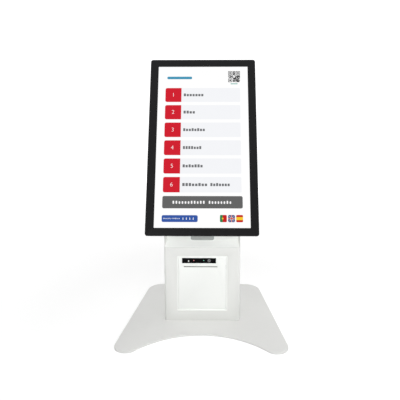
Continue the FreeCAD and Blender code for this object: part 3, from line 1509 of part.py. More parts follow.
def fixed_hinge(index, middle):
    """The leaf on the column's return, with the upper and lower knuckles."""
    low = middle - leaf_half
    high_start = middle + d.knuckle_long / 2 + d.moving_gap
    end_long = leaf_half - d.knuckle_long / 2 - d.moving_gap
    parts = [box(f"fixed_leaf_{index}", (1 - half_wide, back_y, low),
                 (half_wide - 1 + rear_axis_x, d.leaf_thick, d.leaf_long))]
    for end, start in enumerate((low, high_start)):
        parts.append(rod(f"fixed_knuckle_{index}_{end}", (rear_axis_x, rear_axis_y, start),
                         d.knuckle_radius, end_long))
        parts.append(box(f"fixed_neck_{index}_{end}", (rear_axis_x - d.knuckle_radius, back_y, start),
                         (d.leaf_thick, rear_axis_y - back_y, end_long)))
    bore = rod(f"fixed_bore_{index}", (rear_axis_x, rear_axis_y, low - 1), d.hinge_pin, d.leaf_long + 2)
    return cut(f"fixed_hinge_{index}", fuse(f"fixed_body_{index}", parts), [bore])


def moving_hinge(index, middle):
    """The leaf on the service door, with the middle knuckle."""
    knuckle_low = middle - d.knuckle_long / 2
    neck_x = rear_axis_x + d.knuckle_radius - d.leaf_thick
    wing = box(f"moving_leaf_{index}",
               (rear_axis_x + d.knuckle_radius + d.moving_gap, rear_face, middle - leaf_half),
               (d.knuckle_radius * 3, d.leaf_thick, d.leaf_long))
    neck = box(f"moving_neck_{index}", (neck_x, rear_face, knuckle_low),
               (d.leaf_thick + d.moving_gap, rear_axis_y - rear_face, d.knuckle_long))
    foot = box(f"moving_foot_{index}", (neck_x, rear_face, knuckle_low),
               (d.leaf_thick + d.moving_gap * 2, d.leaf_thick, d.knuckle_long))
    barrel = rod(f"moving_knuckle_{index}", (rear_axis_x, rear_axis_y, knuckle_low),
                 d.knuckle_radius, d.knuckle_long)
    bore = rod(f"moving_bore_{index}", (rear_axis_x, rear_axis_y, knuckle_low - 1),
               d.hinge_pin + d.running_gap, d.knuckle_long + 2)
    return cut(f"moving_hinge_{index}", fuse(f"moving_body_{index}", [wing, neck, foot, barrel]), [bore])


def make_lock_barrel():
    """Cam lock's barrel through the door: outer collar, body and the nut inside."""
    flange = rod("lock_flange", (lock_side, rear_face, d.lock_high), d.lock_radius + 3, 2, "y")
    body = rod("lock_body", (lock_side, lock_back, d.lock_high), d.lock_radius, rear_face - lock_back, "y")
    nut = rod("lock_nut", (lock_side, back_y + d.moving_gap - 2.5, d.lock_high), d.lock_radius + 2.5,
              2.5, "y")
    bore = rod("lock_bore", (lock_side, lock_back - 1, d.lock_high), d.plug_radius + d.running_gap, 20, "y")
    node(cut("lock_barrel", fuse("lock_barrel_body", [flange, body, nut]), [bore]), "lock_barrel")


def make_lock_cam():
    """The lock's plug and its cam, hanging down in the unlocked position."""
    start = lock_back - d.moving_gap - d.cam_thick
    plug = rod("plug_bar", (lock_side, start, d.lock_high), d.plug_radius, rear_face + 2.6 - start, "y")
    cam = box("cam_blade", (lock_side - 5, start, d.lock_high - d.cam_long), (10, d.cam_thick, d.cam_long))
    slot = box("key_slot", (lock_side - 0.8, rear_face + 0.6, d.lock_high - 3), (1.6, 3, 6))
    node(cut("lock_cam", fuse("lock_cam_body", [plug, cam]), [slot]), "lock_cam")


def sill_screw_spots():
    side, edge = door_side - d.sill_screw_inset, d.sill_screw_edge
    return [(sign * side, z) for sign in (-1, 1) for z in (d.sill_low + edge, d.sill_high - edge)]


def make_rear_sill():
    """Fixed service panel under the door, with the cut-outs for the inlet, switch and socket."""
    body = new_body("rear_sill")
    sketch = sketch_on(body, "XZ_Plane", -back_y)
    add_rounded(sketch, -door_side, d.sill_low, door_side, d.sill_high, 3)
    pad(body, sketch, d.rear_sheet, reverse=True)
    cuts = sketch_on(body, "XZ_Plane", -sill_face)
    for x, wide, tall in ((-inlet_side, d.inlet_wide, d.inlet_tall), (0, d.switch_wide, d.switch_tall),
                          (socket_side, d.socket_wide, d.socket_tall)):
        half_x, half_z = wide / 2 + d.side_gap, tall / 2 + d.side_gap
        add_rectangle(cuts, x - half_x, d.service_high - half_z, x + half_x, d.service_high + half_z)
    for x, z in sill_screw_spots():
        add_circle(cuts, x, z, d.small_screw)
    pocket(body, cuts, d.rear_sheet, reverse=True)


def make_sill_screws():
    screws = []
    for index, (x, z) in enumerate(sill_screw_spots()):
        head = rod(f"sill_head_{index}", (x, sill_face, z), d.small_screw * 1.9, 1.8, "y")
        shank = rod(f"sill_shank_{index}", (x, back_y - 5, z), d.small_screw, d.rear_sheet + 5, "y")
        screws.append(fuse(f"sill_screw_{index}", [head, shank]))
    group("sill_screws", screws)


def make_power_inlet():
    """Mains inlet with three blades in a deep recess."""
    wide, tall = d.inlet_wide, d.inlet_tall
    flange = box("inlet_flange", (-inlet_side - 24, sill_face, d.service_high - 12), (48, 3, 24))
    shell = box("inlet_shell", (-inlet_side - wide / 2, sill_face - 22, d.service_high - tall / 2),
                (wide, 22, tall))
    hollow = box("inlet_hollow", (1.5 - inlet_side - wide / 2, sill_face - 15,
                                  d.service_high - tall / 2 + 2), (wide - 3, 20, tall - 4))
    blades = [box(f"inlet_blade_{index}", (x - 1 - inlet_side, sill_face - 16, d.service_high + z - 2),
                  (2, 13, 4)) for index, (x, z) in enumerate(((-7, -2.5), (7, -2.5), (0, 2.5)))]
    case = cut("inlet_case", fuse("inlet_solid", [flange, shell]), [hollow])
    node(fuse("power_inlet", [case] + blades), "power_inlet")


def make_switch_frame():
    wide, tall = d.switch_wide, d.switch_tall
    flange = box("switch_flange", (-wide / 2 - 2, sill_face, d.service_high - tall / 2 - 2),
                 (wide + 4, 1.5, tall + 4))
    case = box("switch_case", (-wide / 2, sill_face - 18, d.service_high - tall / 2), (wide, 18, tall))
    well = box("switch_well", (-wide / 2 + 2, sill_face - 8, d.service_high - 12.5), (wide - 4, 12, 25))
    bore = rod("switch_bore", (-9, sill_face - 1, d.service_high), 1.5 + d.running_gap, 18, "x")
    node(cut("switch_frame", fuse("switch_body", [flange, case]), [well, bore]), "switch_frame")


def make_power_rocker():
    """Rocker with a dished face on its own pin, resting with its lower end pressed in."""
    body = new_body("power_rocker")
    profile = sketch_on(body, "YZ_Plane")
    add_outline(profile, [(-4.0, -6.5), (4.0, -11.3), (2.6, 0), (4.0, 11.3), (-4.0, 6.5)])
    pad(body, profile, d.switch_wide - 4.6, both=True)
    pin = sketch_on(body, "YZ_Plane")
    add_circle(pin, 0, 0, 1.5)
    pad(body, pin, 17.6, both=True)
    place(body, (0, sill_face - 1, d.service_high), Rotation(Vector(1, 0, 0), -float(d.rocker_angle)))
    body.setExpression(".Placement.Rotation.Angle", (-d.rocker_angle).words)


def make_network_socket():
    wide, tall = d.socket_wide, d.socket_tall
    case = box("socket_case", (socket_side - wide / 2, sill_face - 18, d.service_high - tall / 2),
               (wide, 18.5, tall))
    flange = box("socket_flange", (socket_side - wide / 2 - 3, back_y - 1.5, d.service_high - tall / 2 - 3),
                 (wide + 6, 1.5, tall + 6))
    hollow = box("socket_hollow", (socket_side - 5.9, sill_face - 12, d.service_high - 4), (11.8, 14, 7.6))
    node(cut("network_socket", fuse("socket_body", [case, flange]), [hollow]), "network_socket")


def make_power_supply():
    body = new_body("power_supply")
    sketch = sketch_on(body, "XY_Plane", floor_z)
    half = d.supply_wide / 2
    supply_back = d.supply_deep - d.supply_front
    add_rectangle(sketch, -half, -d.supply_front, half, supply_back)
    pad(body, sketch, d.supply_tall)
    vent = sketch_on(body, "XY_Plane", floor_z + d.supply_tall)
    add_rectangle(vent, -half + 12, 10 - d.supply_front, -half + 15, supply_back - 10)
    repeat(body, pocket(body, vent, 1.5), "X_Axis", d.supply_wide - 27, 14)


# ---------------------------------------------------------------------------------------------------
# Build, check and write
# ---------------------------------------------------------------------------------------------------

def check_and_write():
    doc.recompute()
    for item in doc.Objects:
        if "Invalid" in item.State or "Error" in item.State:
            raise RuntimeError(f"{item.Label}: {item.State}")
    names = [item.Label for item in NODES]
    if len(set(names)) != len(names):
        raise RuntimeError("two nodes share a name")
    for item in NODES:
        if item.Shape.isNull() or not item.Shape.isValid() or not item.Shape.Solids:
            raise RuntimeError(f"{item.Label}: no valid solid")
    os.makedirs("parts", exist_ok=True)
    for item in NODES:
        item.Shape.exportStep(os.path.join("parts", item.Label + ".step"))
    print(f"{len(NODES)} nodes written")


for make in (make_base_plate, make_base_feet, make_column_screws, make_column_shell, make_deck_panel,
             make_mount_arm, make_arm_screws, make_tilt_pin, make_tilt_washers, make_vesa_plate,
             make_vesa_screws, make_touch_glass, make_display_frame, make_lcd_panel, make_rear_housing,
             make_housing_screws, make_display_board, make_display_button, make_printer_bezel,
             make_printer_door, make_status_window, make_indicators, make_door_pins, make_door_catch,
             make_printer_chassis, make_printer_screws, make_paper, make_gears, make_platen,
             make_gear_plate, make_feed_motor, make_print_head, make_cutter_blade, make_cutter_guide,
             make_fixed_blade, make_cutter_motor, make_printer_board, make_rear_door, make_rear_hinges,
             make_lock_barrel, make_lock_cam, make_rear_sill, make_sill_screws, make_power_inlet,
             make_switch_frame, make_power_rocker, make_network_socket, make_power_supply):
    make()
check_and_write()
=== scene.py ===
import json
import math
import random

import bpy
from mathutils import Matrix, Vector


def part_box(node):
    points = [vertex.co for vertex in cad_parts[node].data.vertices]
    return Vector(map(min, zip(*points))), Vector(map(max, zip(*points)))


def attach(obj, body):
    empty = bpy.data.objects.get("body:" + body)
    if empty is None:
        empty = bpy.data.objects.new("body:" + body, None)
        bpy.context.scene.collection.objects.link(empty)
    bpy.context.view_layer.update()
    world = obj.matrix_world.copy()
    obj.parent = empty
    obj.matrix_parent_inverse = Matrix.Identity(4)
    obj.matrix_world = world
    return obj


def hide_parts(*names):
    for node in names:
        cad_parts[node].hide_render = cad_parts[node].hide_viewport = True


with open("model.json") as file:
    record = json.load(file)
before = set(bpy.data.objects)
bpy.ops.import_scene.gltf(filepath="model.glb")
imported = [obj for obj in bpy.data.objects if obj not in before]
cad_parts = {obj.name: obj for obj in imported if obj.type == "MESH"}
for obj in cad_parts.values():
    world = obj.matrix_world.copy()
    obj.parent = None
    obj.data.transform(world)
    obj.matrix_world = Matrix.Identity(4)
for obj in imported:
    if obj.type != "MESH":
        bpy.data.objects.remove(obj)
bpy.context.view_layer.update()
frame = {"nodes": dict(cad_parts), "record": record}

# Looks of a countertop ticket kiosk: finishes for its CAD pieces, the lit menu on its display, the
# small printed marks and the fasteners. Metres, +Z up, front towards -Y. Pieces of the display are
# drawn upright in a frame of their own (x right, y into the display from its front face, z up) and
# then leant back.

bl_info = {
    "name": "Ticket kiosk",
    "version": (1, 0, 0),
    "blender": (4, 5, 0),
    "location": "View3D > Sidebar > Kiosk",
    "description": "Dresses the kiosk's CAD pieces and adds its screen menu, marks and fasteners",
    "category": "Object",
}

MM = 0.001
NODES = frame["nodes"]
SLOT_OF = {part["node"]: part["material_slot"] for part in frame["record"]["subparts"]}
FINISHES = {}

SAME_PLACE = 1e-6  # Vertices nearer than this are one
SAME_DIGITS = 6  # Decimals of a metre that tell two places apart
FLAT_ANGLE = math.radians(0.5)  # Faces nearer to flat than this are merged
SMOOTH_ANGLE = math.radians(35)  # Sharper edges stay sharp in the shading
CORNER_STEPS = 6
ROUND_SIDES = 32


# ---- Sizes and colours that a user would change ----

def length(name, description, millimetres):
    return bpy.props.FloatProperty(name=name, description=description,
                                   default=millimetres * MM, unit="LENGTH", precision=5)


def colour(name, description, red, green, blue):
    """A colour property, given as it shows on a screen in steps of 255."""
    shown = [linear(step / 255) for step in (red, green, blue)]
    return bpy.props.FloatVectorProperty(name=name, description=description, subtype="COLOR",
                                         default=shown, min=0, max=1)


def linear(value):
    """The light that a screen gives for a value of its colour scale, both from 0 to 1."""
    return value / 12.92 if value <= 0.04045 else ((value + 0.055) / 1.055) ** 2.4


class KioskScreenSettings(bpy.types.PropertyGroup):
    lean: bpy.props.FloatProperty(name="Lean", subtype="ANGLE", default=math.radians(17.35),
                                  description="How far the display leans back at rest")
    front: length("Front", "From the foot plate's middle to the display's lower front edge", 63.8)
    low: length("Low edge", "Height of the display's lower front edge", 224.3)
    wide: length("Lit width", "Width of the lit screen", 230.4)
    tall: length("Lit height", "Height of the lit screen", 409.8)
    margin: length("Lower border", "Black border under the lit screen", 19.1)
    page: colour("Page", "Background of the menu", 255, 255, 255)
    row: colour("Row", "Pale tile of each row", 244, 245, 248)
    tab: colour("Tab", "Numbered tile at the start of each row", 208, 14, 38)
    word: colour("Word", "Blocks that stand for a row's words", 112, 113, 115)
    button: colour("Button", "Wide button under the rows", 97, 97, 97)
    link: colour("Link", "Small button at the foot of the menu", 46, 84, 164)
    accent: colour("Accent", "Plain bar at the head of the menu", 62, 148, 182)


class KioskFinishSettings(bpy.types.PropertyGroup):
    coat: colour("Column coat", "Powder coat of the column", 227, 228, 225)
    # Painted light: the deck coat is the column's coat made lighter, to make up for the shade that
    # the display casts on the panel under it.
    deck: colour("Deck coat", "Lighter powder coat of the panel under the display", 246, 248, 245)
    foot: colour("Foot coat", "Powder coat of the foot plate", 216, 216, 214)
    arm: colour("Arm paint", "Paint of the display's arm", 169, 173, 171)
    printer: colour("Printer plastic", "Front of the ticket printer", 243, 245, 242)
    frame: colour("Display plastic", "Frame and back of the display", 30, 30, 32)
    glass: colour("Printed border", "Black border printed on the glass", 22, 22, 23)


class KioskStageSettings(bpy.types.PropertyGroup):
    camera: bpy.props.FloatVectorProperty(name="Camera", description="Where the camera stands",
                                          subtype="TRANSLATION",
                                          default=(0.0216, -0.8838, 0.466))
    pitch: bpy.props.FloatProperty(name="Pitch", description="How far the camera looks down",
                                   default=math.radians(6.0), subtype="ANGLE")
    yaw: bpy.props.FloatProperty(name="Yaw", description="How far the camera looks to the left",
                                 default=math.radians(0.6425), subtype="ANGLE")
    lens: bpy.props.FloatProperty(name="Lens", description="Focal length", default=32.4,
                                  unit="CAMERA")
    shift: bpy.props.FloatVectorProperty(name="Shift", description="Shift of the picture",
                                         size=2, default=(-0.018, -0.075))
    sky: bpy.props.FloatProperty(name="Sky", description="Level of the light from all round",
                                 default=0.39)
    front: bpy.props.FloatProperty(name="Front lamp", description="Power of the wide lamp in front",
                                   default=16.0)
    fill: bpy.props.FloatProperty(name="Fill lamp", default=57.0,
                                  description="Power of the shadowless lamp above")
    back: bpy.props.FloatProperty(name="Back lamp", description="Power of the weak lamp behind",
                                  default=14.0)


# ---- Mesh helpers ----

def take(piece):
    """Make one piece the only selected and active one, in object mode."""
    if bpy.context.object and bpy.context.object.mode != "OBJECT":
        bpy.ops.object.mode_set(mode="OBJECT")
    bpy.ops.object.select_all(action="DESELECT")
    if piece is not None:
        bpy.context.view_layer.objects.active = piece
        piece.select_set(True)


def settle(name):
    """Name the piece just added and put its place into its mesh."""
    piece = bpy.context.object
    piece.name = piece.data.name = name
    bpy.ops.object.transform_apply(location=True, rotation=True, scale=True)
    return piece


def add_block(name, low, high):
    take(None)
    low, high = Vector(low), Vector(high)
    bpy.ops.mesh.primitive_cube_add(size=1, location=(low + high) / 2, scale=high - low)
    return settle(name)


def add_disc(name, centre, radius, thick, sides=ROUND_SIDES):
    """A plate with so many sides whose flat faces look along Y."""
    take(None)
    bpy.ops.mesh.primitive_cylinder_add(vertices=sides, radius=radius, depth=thick,
                                        location=centre, rotation=(math.pi / 2, 0, 0))
    return settle(name)


def pick_edges(piece, wanted):
    """Select the edges for which wanted(end, other end) is true, and stay in edit mode."""
    take(piece)
    bpy.ops.object.mode_set(mode="EDIT")
    bpy.ops.mesh.select_mode(type="EDGE")
    bpy.ops.mesh.select_all(action="DESELECT")
    bpy.ops.object.mode_set(mode="OBJECT")
    spots = piece.data.vertices
    for edge in piece.data.edges:
        edge.select = wanted(spots[edge.vertices[0]].co, spots[edge.vertices[1]].co)
    bpy.ops.object.mode_set(mode="EDIT")


def leave_edit():
    bpy.ops.object.mode_set(mode="OBJECT")


def round_upright(piece, radius, wanted=lambda spot: True, steps=CORNER_STEPS):
    """Round the wanted corners of a plate that faces -Y."""
    pick_edges(piece, lambda a, b: abs(a.y - b.y) > SAME_PLACE and wanted(a))
    bpy.ops.mesh.bevel(offset=radius, segments=steps, affect="EDGES")
    leave_edit()


def ease_edges(piece, width, steps=2, angle=40, clamp=True):
    """Break the sharp edges of a piece with a bevel."""
    take(piece)
    bevel = piece.modifiers.new("Ease", "BEVEL")
    bevel.width = width
    bevel.segments = steps
    bevel.limit_method = "ANGLE"
    bevel.angle_limit = math.radians(angle)
    bevel.use_clamp_overlap = clamp
    bpy.ops.object.modifier_apply(modifier=bevel.name)


def carve(piece, tool, way="DIFFERENCE"):
    """Cut a tool's shape out of a piece, or keep only what lies in it, and remove the tool."""
    take(piece)
    boolean = piece.modifiers.new("Carve", "BOOLEAN")
    boolean.operation = way
    boolean.solver = "EXACT"
    boolean.object = tool
    bpy.ops.object.modifier_apply(modifier=boolean.name)
    bpy.data.objects.remove(tool)


def join(name, parts):
    """One piece made of several, or of one."""
    take(parts[0])
    for part in parts:
        part.select_set(True)
    if len(parts) > 1:
        bpy.ops.object.join()
    parts[0].name = parts[0].data.name = name
    return parts[0]


def move_by(piece, matrix):
    """Move a piece by a matrix and put its new place into its mesh."""
    take(piece)
    piece.matrix_world = matrix
    bpy.ops.object.transform_apply(location=True, rotation=True, scale=True)
    return piece


def repeat(piece, places):
    """A piece moved by the first of several matrices, and by each other one a copy of its own."""
    copies = []
    for place in places[1:]:
        take(piece)
        bpy.ops.object.duplicate(linked=False)
        copies.append(move_by(bpy.context.object, place))
    return [move_by(piece, places[0]), *copies]


def complete(piece, body, finish, replaced=()):
    """Shade a piece, give it its finish, and tie it to the CAD body that carries it."""
    take(piece)
    bpy.ops.object.shade_smooth_by_angle(angle=SMOOTH_ANGLE)
    piece.data.materials.clear()
    piece.data.materials.append(FINISHES[finish])
    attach(piece, body)
    if replaced:
        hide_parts(*replaced)
    return piece


def softened(node, width, name):
    """A merged copy of a CAD node with its sharp edges broken."""
    take(None)
    piece = bpy.data.objects.new(name, NODES[node].data.copy())
    bpy.context.scene.collection.objects.link(piece)
    take(piece)
    bpy.ops.object.mode_set(mode="EDIT")
    bpy.ops.mesh.select_all(action="SELECT")
    bpy.ops.mesh.remove_doubles(threshold=SAME_PLACE)
    bpy.ops.mesh.dissolve_limited(angle_limit=FLAT_ANGLE)
    leave_edit()
    piece.data.name = name
    ease_edges(piece, width, clamp=False)
    return piece


def solids_of(node, matrix):
    """Lowest and highest corner of each separate solid of a node, in the frame of a matrix."""
    take(None)
    mesh = NODES[node].data
    back = matrix.inverted()
    spots = [back @ vertex.co for vertex in mesh.vertices]
    owner = {}
    keys = [tuple(round(value, SAME_DIGITS) for value in vertex.co) for vertex in mesh.vertices]

    def root(key):
        while owner.setdefault(key, key) != key:
            key = owner[key]
        return key

    for face in mesh.polygons:
        first = root(keys[face.vertices[0]])
        for corner in face.vertices[1:]:
            owner[root(keys[corner])] = first
    solids = {}
    for key, spot in zip(keys, spots):
        solids.setdefault(root(key), []).append(spot)
    return [(Vector(map(min, zip(*found))), Vector(map(max, zip(*found))))
            for found in solids.values()]


def display_place():
    """Where the display's own frame stands in the kiosk."""
    screen = bpy.context.scene.kiosk_screen
    corner = Matrix.Translation((0, -screen.front, screen.low))
    return corner @ Matrix.Rotation(-screen.lean, 4, "X")


# ---- Shared effects ----

MIX_FIRST, MIX_SECOND, MIX_RESULT = 6, 7, 2  # Colour sockets of a mix node


class Board:
    """A node tree that nodes are added to, each with its settings and its inputs."""

    def __init__(self, tree):
        self.tree = tree

    def add(self, kind, inputs=(), **settings):
        made = self.tree.nodes.new(kind)
        for name, value in settings.items():
            setattr(made, name, value)
        for name, value in dict(inputs).items():
            if isinstance(value, bpy.types.NodeSocket):
                self.tree.links.new(value, made.inputs[name])
            else:
                made.inputs[name].default_value = value
        return made

    def maths(self, operation, first, second=0.0):
        return self.add("ShaderNodeMath", {0: first, 1: second}, operation=operation).outputs[0]

    def blend(self, factor, first, second):
        """A colour between two, by a factor."""
        mix = self.add("ShaderNodeMix", {0: factor, MIX_FIRST: first, MIX_SECOND: second},
                       data_type="RGBA")
        return mix.outputs[MIX_RESULT]

    def spread(self, value, low, high, new_low, new_high):
        """A value moved from one range to another, and kept inside it."""
        made = self.add("ShaderNodeMapRange",
                        {0: value, 1: low, 2: high, 3: new_low, 4: new_high})
        return made.outputs[0]


def new_effect(name, scale, result):
    """A node group that makes one value from a place and a scale: its board and its two ends."""
    tree = bpy.data.node_groups.new(name, "ShaderNodeTree")
    tree.interface.new_socket("Vector", in_out="INPUT", socket_type="NodeSocketVector")
    made = tree.interface.new_socket("Scale", in_out="INPUT", socket_type="NodeSocketFloat")
    made.default_value = scale
    tree.interface.new_socket(result, in_out="OUTPUT", socket_type="NodeSocketFloat")
    board = Board(tree)
    return board, board.add("NodeGroupInput").outputs, board.add("NodeGroupOutput").inputs


def make_grain_effect():
    """Fine pimples, as in powder coat, moulded plastic and rubber."""
    board, given, out = new_effect("Fine grain", 1200.0, "Height")
    noise = board.add("ShaderNodeTexNoise", {"Vector": given["Vector"], "Scale": given["Scale"],
                                             "Detail": 2.0, "Roughness": 0.6})
    cells = board.add("ShaderNodeTexVoronoi",
                      {"Vector": given["Vector"], "Scale": given["Scale"]}, feature="SMOOTH_F1")
    domes = board.maths("SUBTRACT", 1.4, cells.outputs[0])
    board.tree.links.new(board.maths("MULTIPLY", noise.outputs[0], domes), out["Height"])


def make_handling_effect():
    """Soft uneven patches from handling and dust, from 0 to 1."""
    board, given, out = new_effect("Handling", 9.0, "Mask")
    broad = board.add("ShaderNodeTexNoise", {"Vector": given["Vector"], "Scale": given["Scale"],
                                             "Detail": 5.0, "Roughness": 0.55})
    fine_scale = board.maths("MULTIPLY", given["Scale"], 14.0)
    fine = board.add("ShaderNodeTexNoise", {"Vector": given["Vector"], "Scale": fine_scale,
                                            "Detail": 3.0})
    both = board.maths("ADD", board.maths("MULTIPLY", broad.outputs[0], 0.7),
                       board.maths("MULTIPLY", fine.outputs[0], 0.3))
    board.tree.links.new(board.spread(both, 0.35, 0.65, 0.0, 1.0), out["Mask"])


def make_drawn_effect():
    """Long fine lines along the first axis, as on drawn or ground metal."""
    board, given, out = new_effect("Drawn lines", 900.0, "Height")
    stretched = board.add("ShaderNodeMapping", {"Vector": given["Vector"],
                                                "Scale": (0.02, 1.0, 1.0)})
    noise = board.add("ShaderNodeTexNoise", {"Vector": stretched.outputs[0],
                                             "Scale": given["Scale"],
                                             "Detail": 3.0, "Roughness": 0.7})
    board.tree.links.new(noise.outputs[0], out["Height"])


def effect(board, name, vector, scale):
    """The value of a shared effect at a place."""
    made = board.add("ShaderNodeGroup", node_tree=bpy.data.node_groups[name])
    board.tree.links.new(vector, made.inputs["Vector"])
    made.inputs["Scale"].default_value = scale
    return made.outputs[0]


# ---- Finishes ----

def start_finish(name):
    """A new material: its board, its shader's inputs and the object coordinates."""
    material = bpy.data.materials.new(name)
    material.use_nodes = True
    FINISHES[name] = material
    board = Board(material.node_tree)
    shader = material.node_tree.nodes["Principled BSDF"]
    spot = board.add("ShaderNodeTexCoord").outputs["Object"]
    return board, shader, spot


def shade(value, factor):
    """A colour made darker or lighter by a factor."""
    return (value[0] * factor, value[1] * factor, value[2] * factor, 1.0)


def set_relief(board, shader, height, depth):
    """Raise the surface by a height map, at most by a depth in metres."""
    bump = board.add("ShaderNodeBump", {"Strength": 1.0, "Distance": depth, "Height": height})
    board.tree.links.new(bump.outputs[0], shader.inputs["Normal"])


def make_solid_finish(name, base, rough, grain, depth, uneven=0.05, patch=9.0, metal=0.0,
                      shine=0.5, lines=False):
    """A paint, plastic, rubber or metal, with the scale of its grain and its depth in millimetres.

    Its colour and gloss vary with handling, in patches of their own scale.
    """
    board, shader, spot = start_finish(name)
    mask = effect(board, "Handling", spot, patch)
    tint = board.blend(mask, shade(base, 1.0 - uneven), shade(base, 1.0))
    board.tree.links.new(tint, shader.inputs["Base Color"])
    rough_map = board.spread(mask, 0.0, 1.0, min(1.0, rough * 1.18), rough * 0.9)
    board.tree.links.new(rough_map, shader.inputs["Roughness"])
    height = effect(board, "Drawn lines" if lines else "Fine grain", spot, grain)
    set_relief(board, shader, height, depth * MM)
    shader.inputs["Metallic"].default_value = metal
    shader.inputs["Specular IOR Level"].default_value = shine


def make_lit_finish(name, base):
    """Ink of the lit menu, seen under the smooth cover glass, a little uneven."""
    board, shader, spot = start_finish(name)
    mask = effect(board, "Handling", spot, 4.0)
    glow = board.blend(mask, shade(base, 0.985), shade(base, 1.0))
    board.tree.links.new(glow, shader.inputs["Emission Color"])
    shader.inputs["Emission Strength"].default_value = 1.0
    shader.inputs["Base Color"].default_value = (0.004, 0.004, 0.004, 1.0)
    smears = effect(board, "Handling", spot, 16.0)
    board.tree.links.new(board.spread(smears, 0.0, 1.0, 0.1, 0.16), shader.inputs["Roughness"])
    shader.inputs["Specular IOR Level"].default_value = 0.1


def make_glass_finish(name, base):
    """Gloss cover glass over its printed black border, with faint smears."""
    board, shader, spot = start_finish(name)
    smears = effect(board, "Handling", spot, 12.0)
    tint = board.blend(smears, shade(base, 0.9), shade(base, 1.1))
    board.tree.links.new(tint, shader.inputs["Base Color"])
    board.tree.links.new(board.spread(smears, 0.0, 1.0, 0.06, 0.14), shader.inputs["Roughness"])
    shader.inputs["Specular IOR Level"].default_value = 0.12


def make_lamp_finish(name, base):
    """A weakly lit coloured lamp behind a clear lens."""
    board, shader, spot = start_finish(name)
    mask = effect(board, "Handling", spot, 300.0)
    glow = board.blend(mask, shade(base, 0.8), shade(base, 1.0))
    board.tree.links.new(glow, shader.inputs["Base Color"])
    board.tree.links.new(glow, shader.inputs["Emission Color"])
    shader.inputs["Emission Strength"].default_value = 0.5
    shader.inputs["Roughness"].default_value = 0.2


def make_board_finish(name):
    """Circuit board: green mask with copper tracks under it and pale printed dots."""
    board, shader, spot = start_finish(name)
    mask_green, track_green = (0.012, 0.09, 0.035, 1.0), (0.03, 0.2, 0.07, 1.0)
    dot_white = (0.55, 0.5, 0.32, 1.0)
    turned = board.add("ShaderNodeMapping", {"Vector": spot, "Rotation": (math.pi / 2, 0, 0)})
    tracks = board.add("ShaderNodeTexBrick", {
        "Vector": turned.outputs[0], "Scale": 90.0, "Mortar Size": 0.02,
        "Color1": (0.0, 0.0, 0.0, 1.0), "Color2": (0.1, 0.1, 0.1, 1.0),
        "Mortar": (1.0, 1.0, 1.0, 1.0)})
    dots = board.add("ShaderNodeTexVoronoi", {"Vector": turned.outputs[0], "Scale": 260.0})
    dot_mask = board.maths("LESS_THAN", dots.outputs[0], 0.18)
    green = board.blend(tracks.outputs[0], mask_green, track_green)
    board.tree.links.new(board.blend(dot_mask, green, dot_white), shader.inputs["Base Color"])
    set_relief(board, shader, tracks.outputs[0], 0.04 * MM)
    shader.inputs["Roughness"].default_value = 0.35


def make_paper_finish(name):
    """Thermal paper: matt, with the fine rings of a wound roll on its ends."""
    board, shader, spot = start_finish(name)
    low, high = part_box("paper_roll")
    moved = board.add("ShaderNodeMapping", {"Vector": spot, "Location": -(low + high) / 2})
    rings = board.add("ShaderNodeTexWave",
                      {"Vector": moved.outputs[0], "Scale": 260.0, "Distortion": 0.4},
                      wave_type="RINGS", rings_direction="X")
    tint = board.blend(rings.outputs[1], (0.72, 0.72, 0.7, 1.0), (0.88, 0.88, 0.86, 1.0))
    board.tree.links.new(tint, shader.inputs["Base Color"])
    set_relief(board, shader, rings.outputs[1], 0.03 * MM)
    shader.inputs["Roughness"].default_value = 0.85


SETTING_INKS = ("page", "row", "tab", "word", "button", "link", "accent")
FIXED_INKS = {"red": (0.56, 0.006, 0.007), "green": (0.02, 0.22, 0.06), "yellow": (0.95, 0.6, 0.02),
              "navy": (0.012, 0.03, 0.2), "black": (0.012, 0.012, 0.014),
              "green_word": (0.25, 0.5, 0.45)}


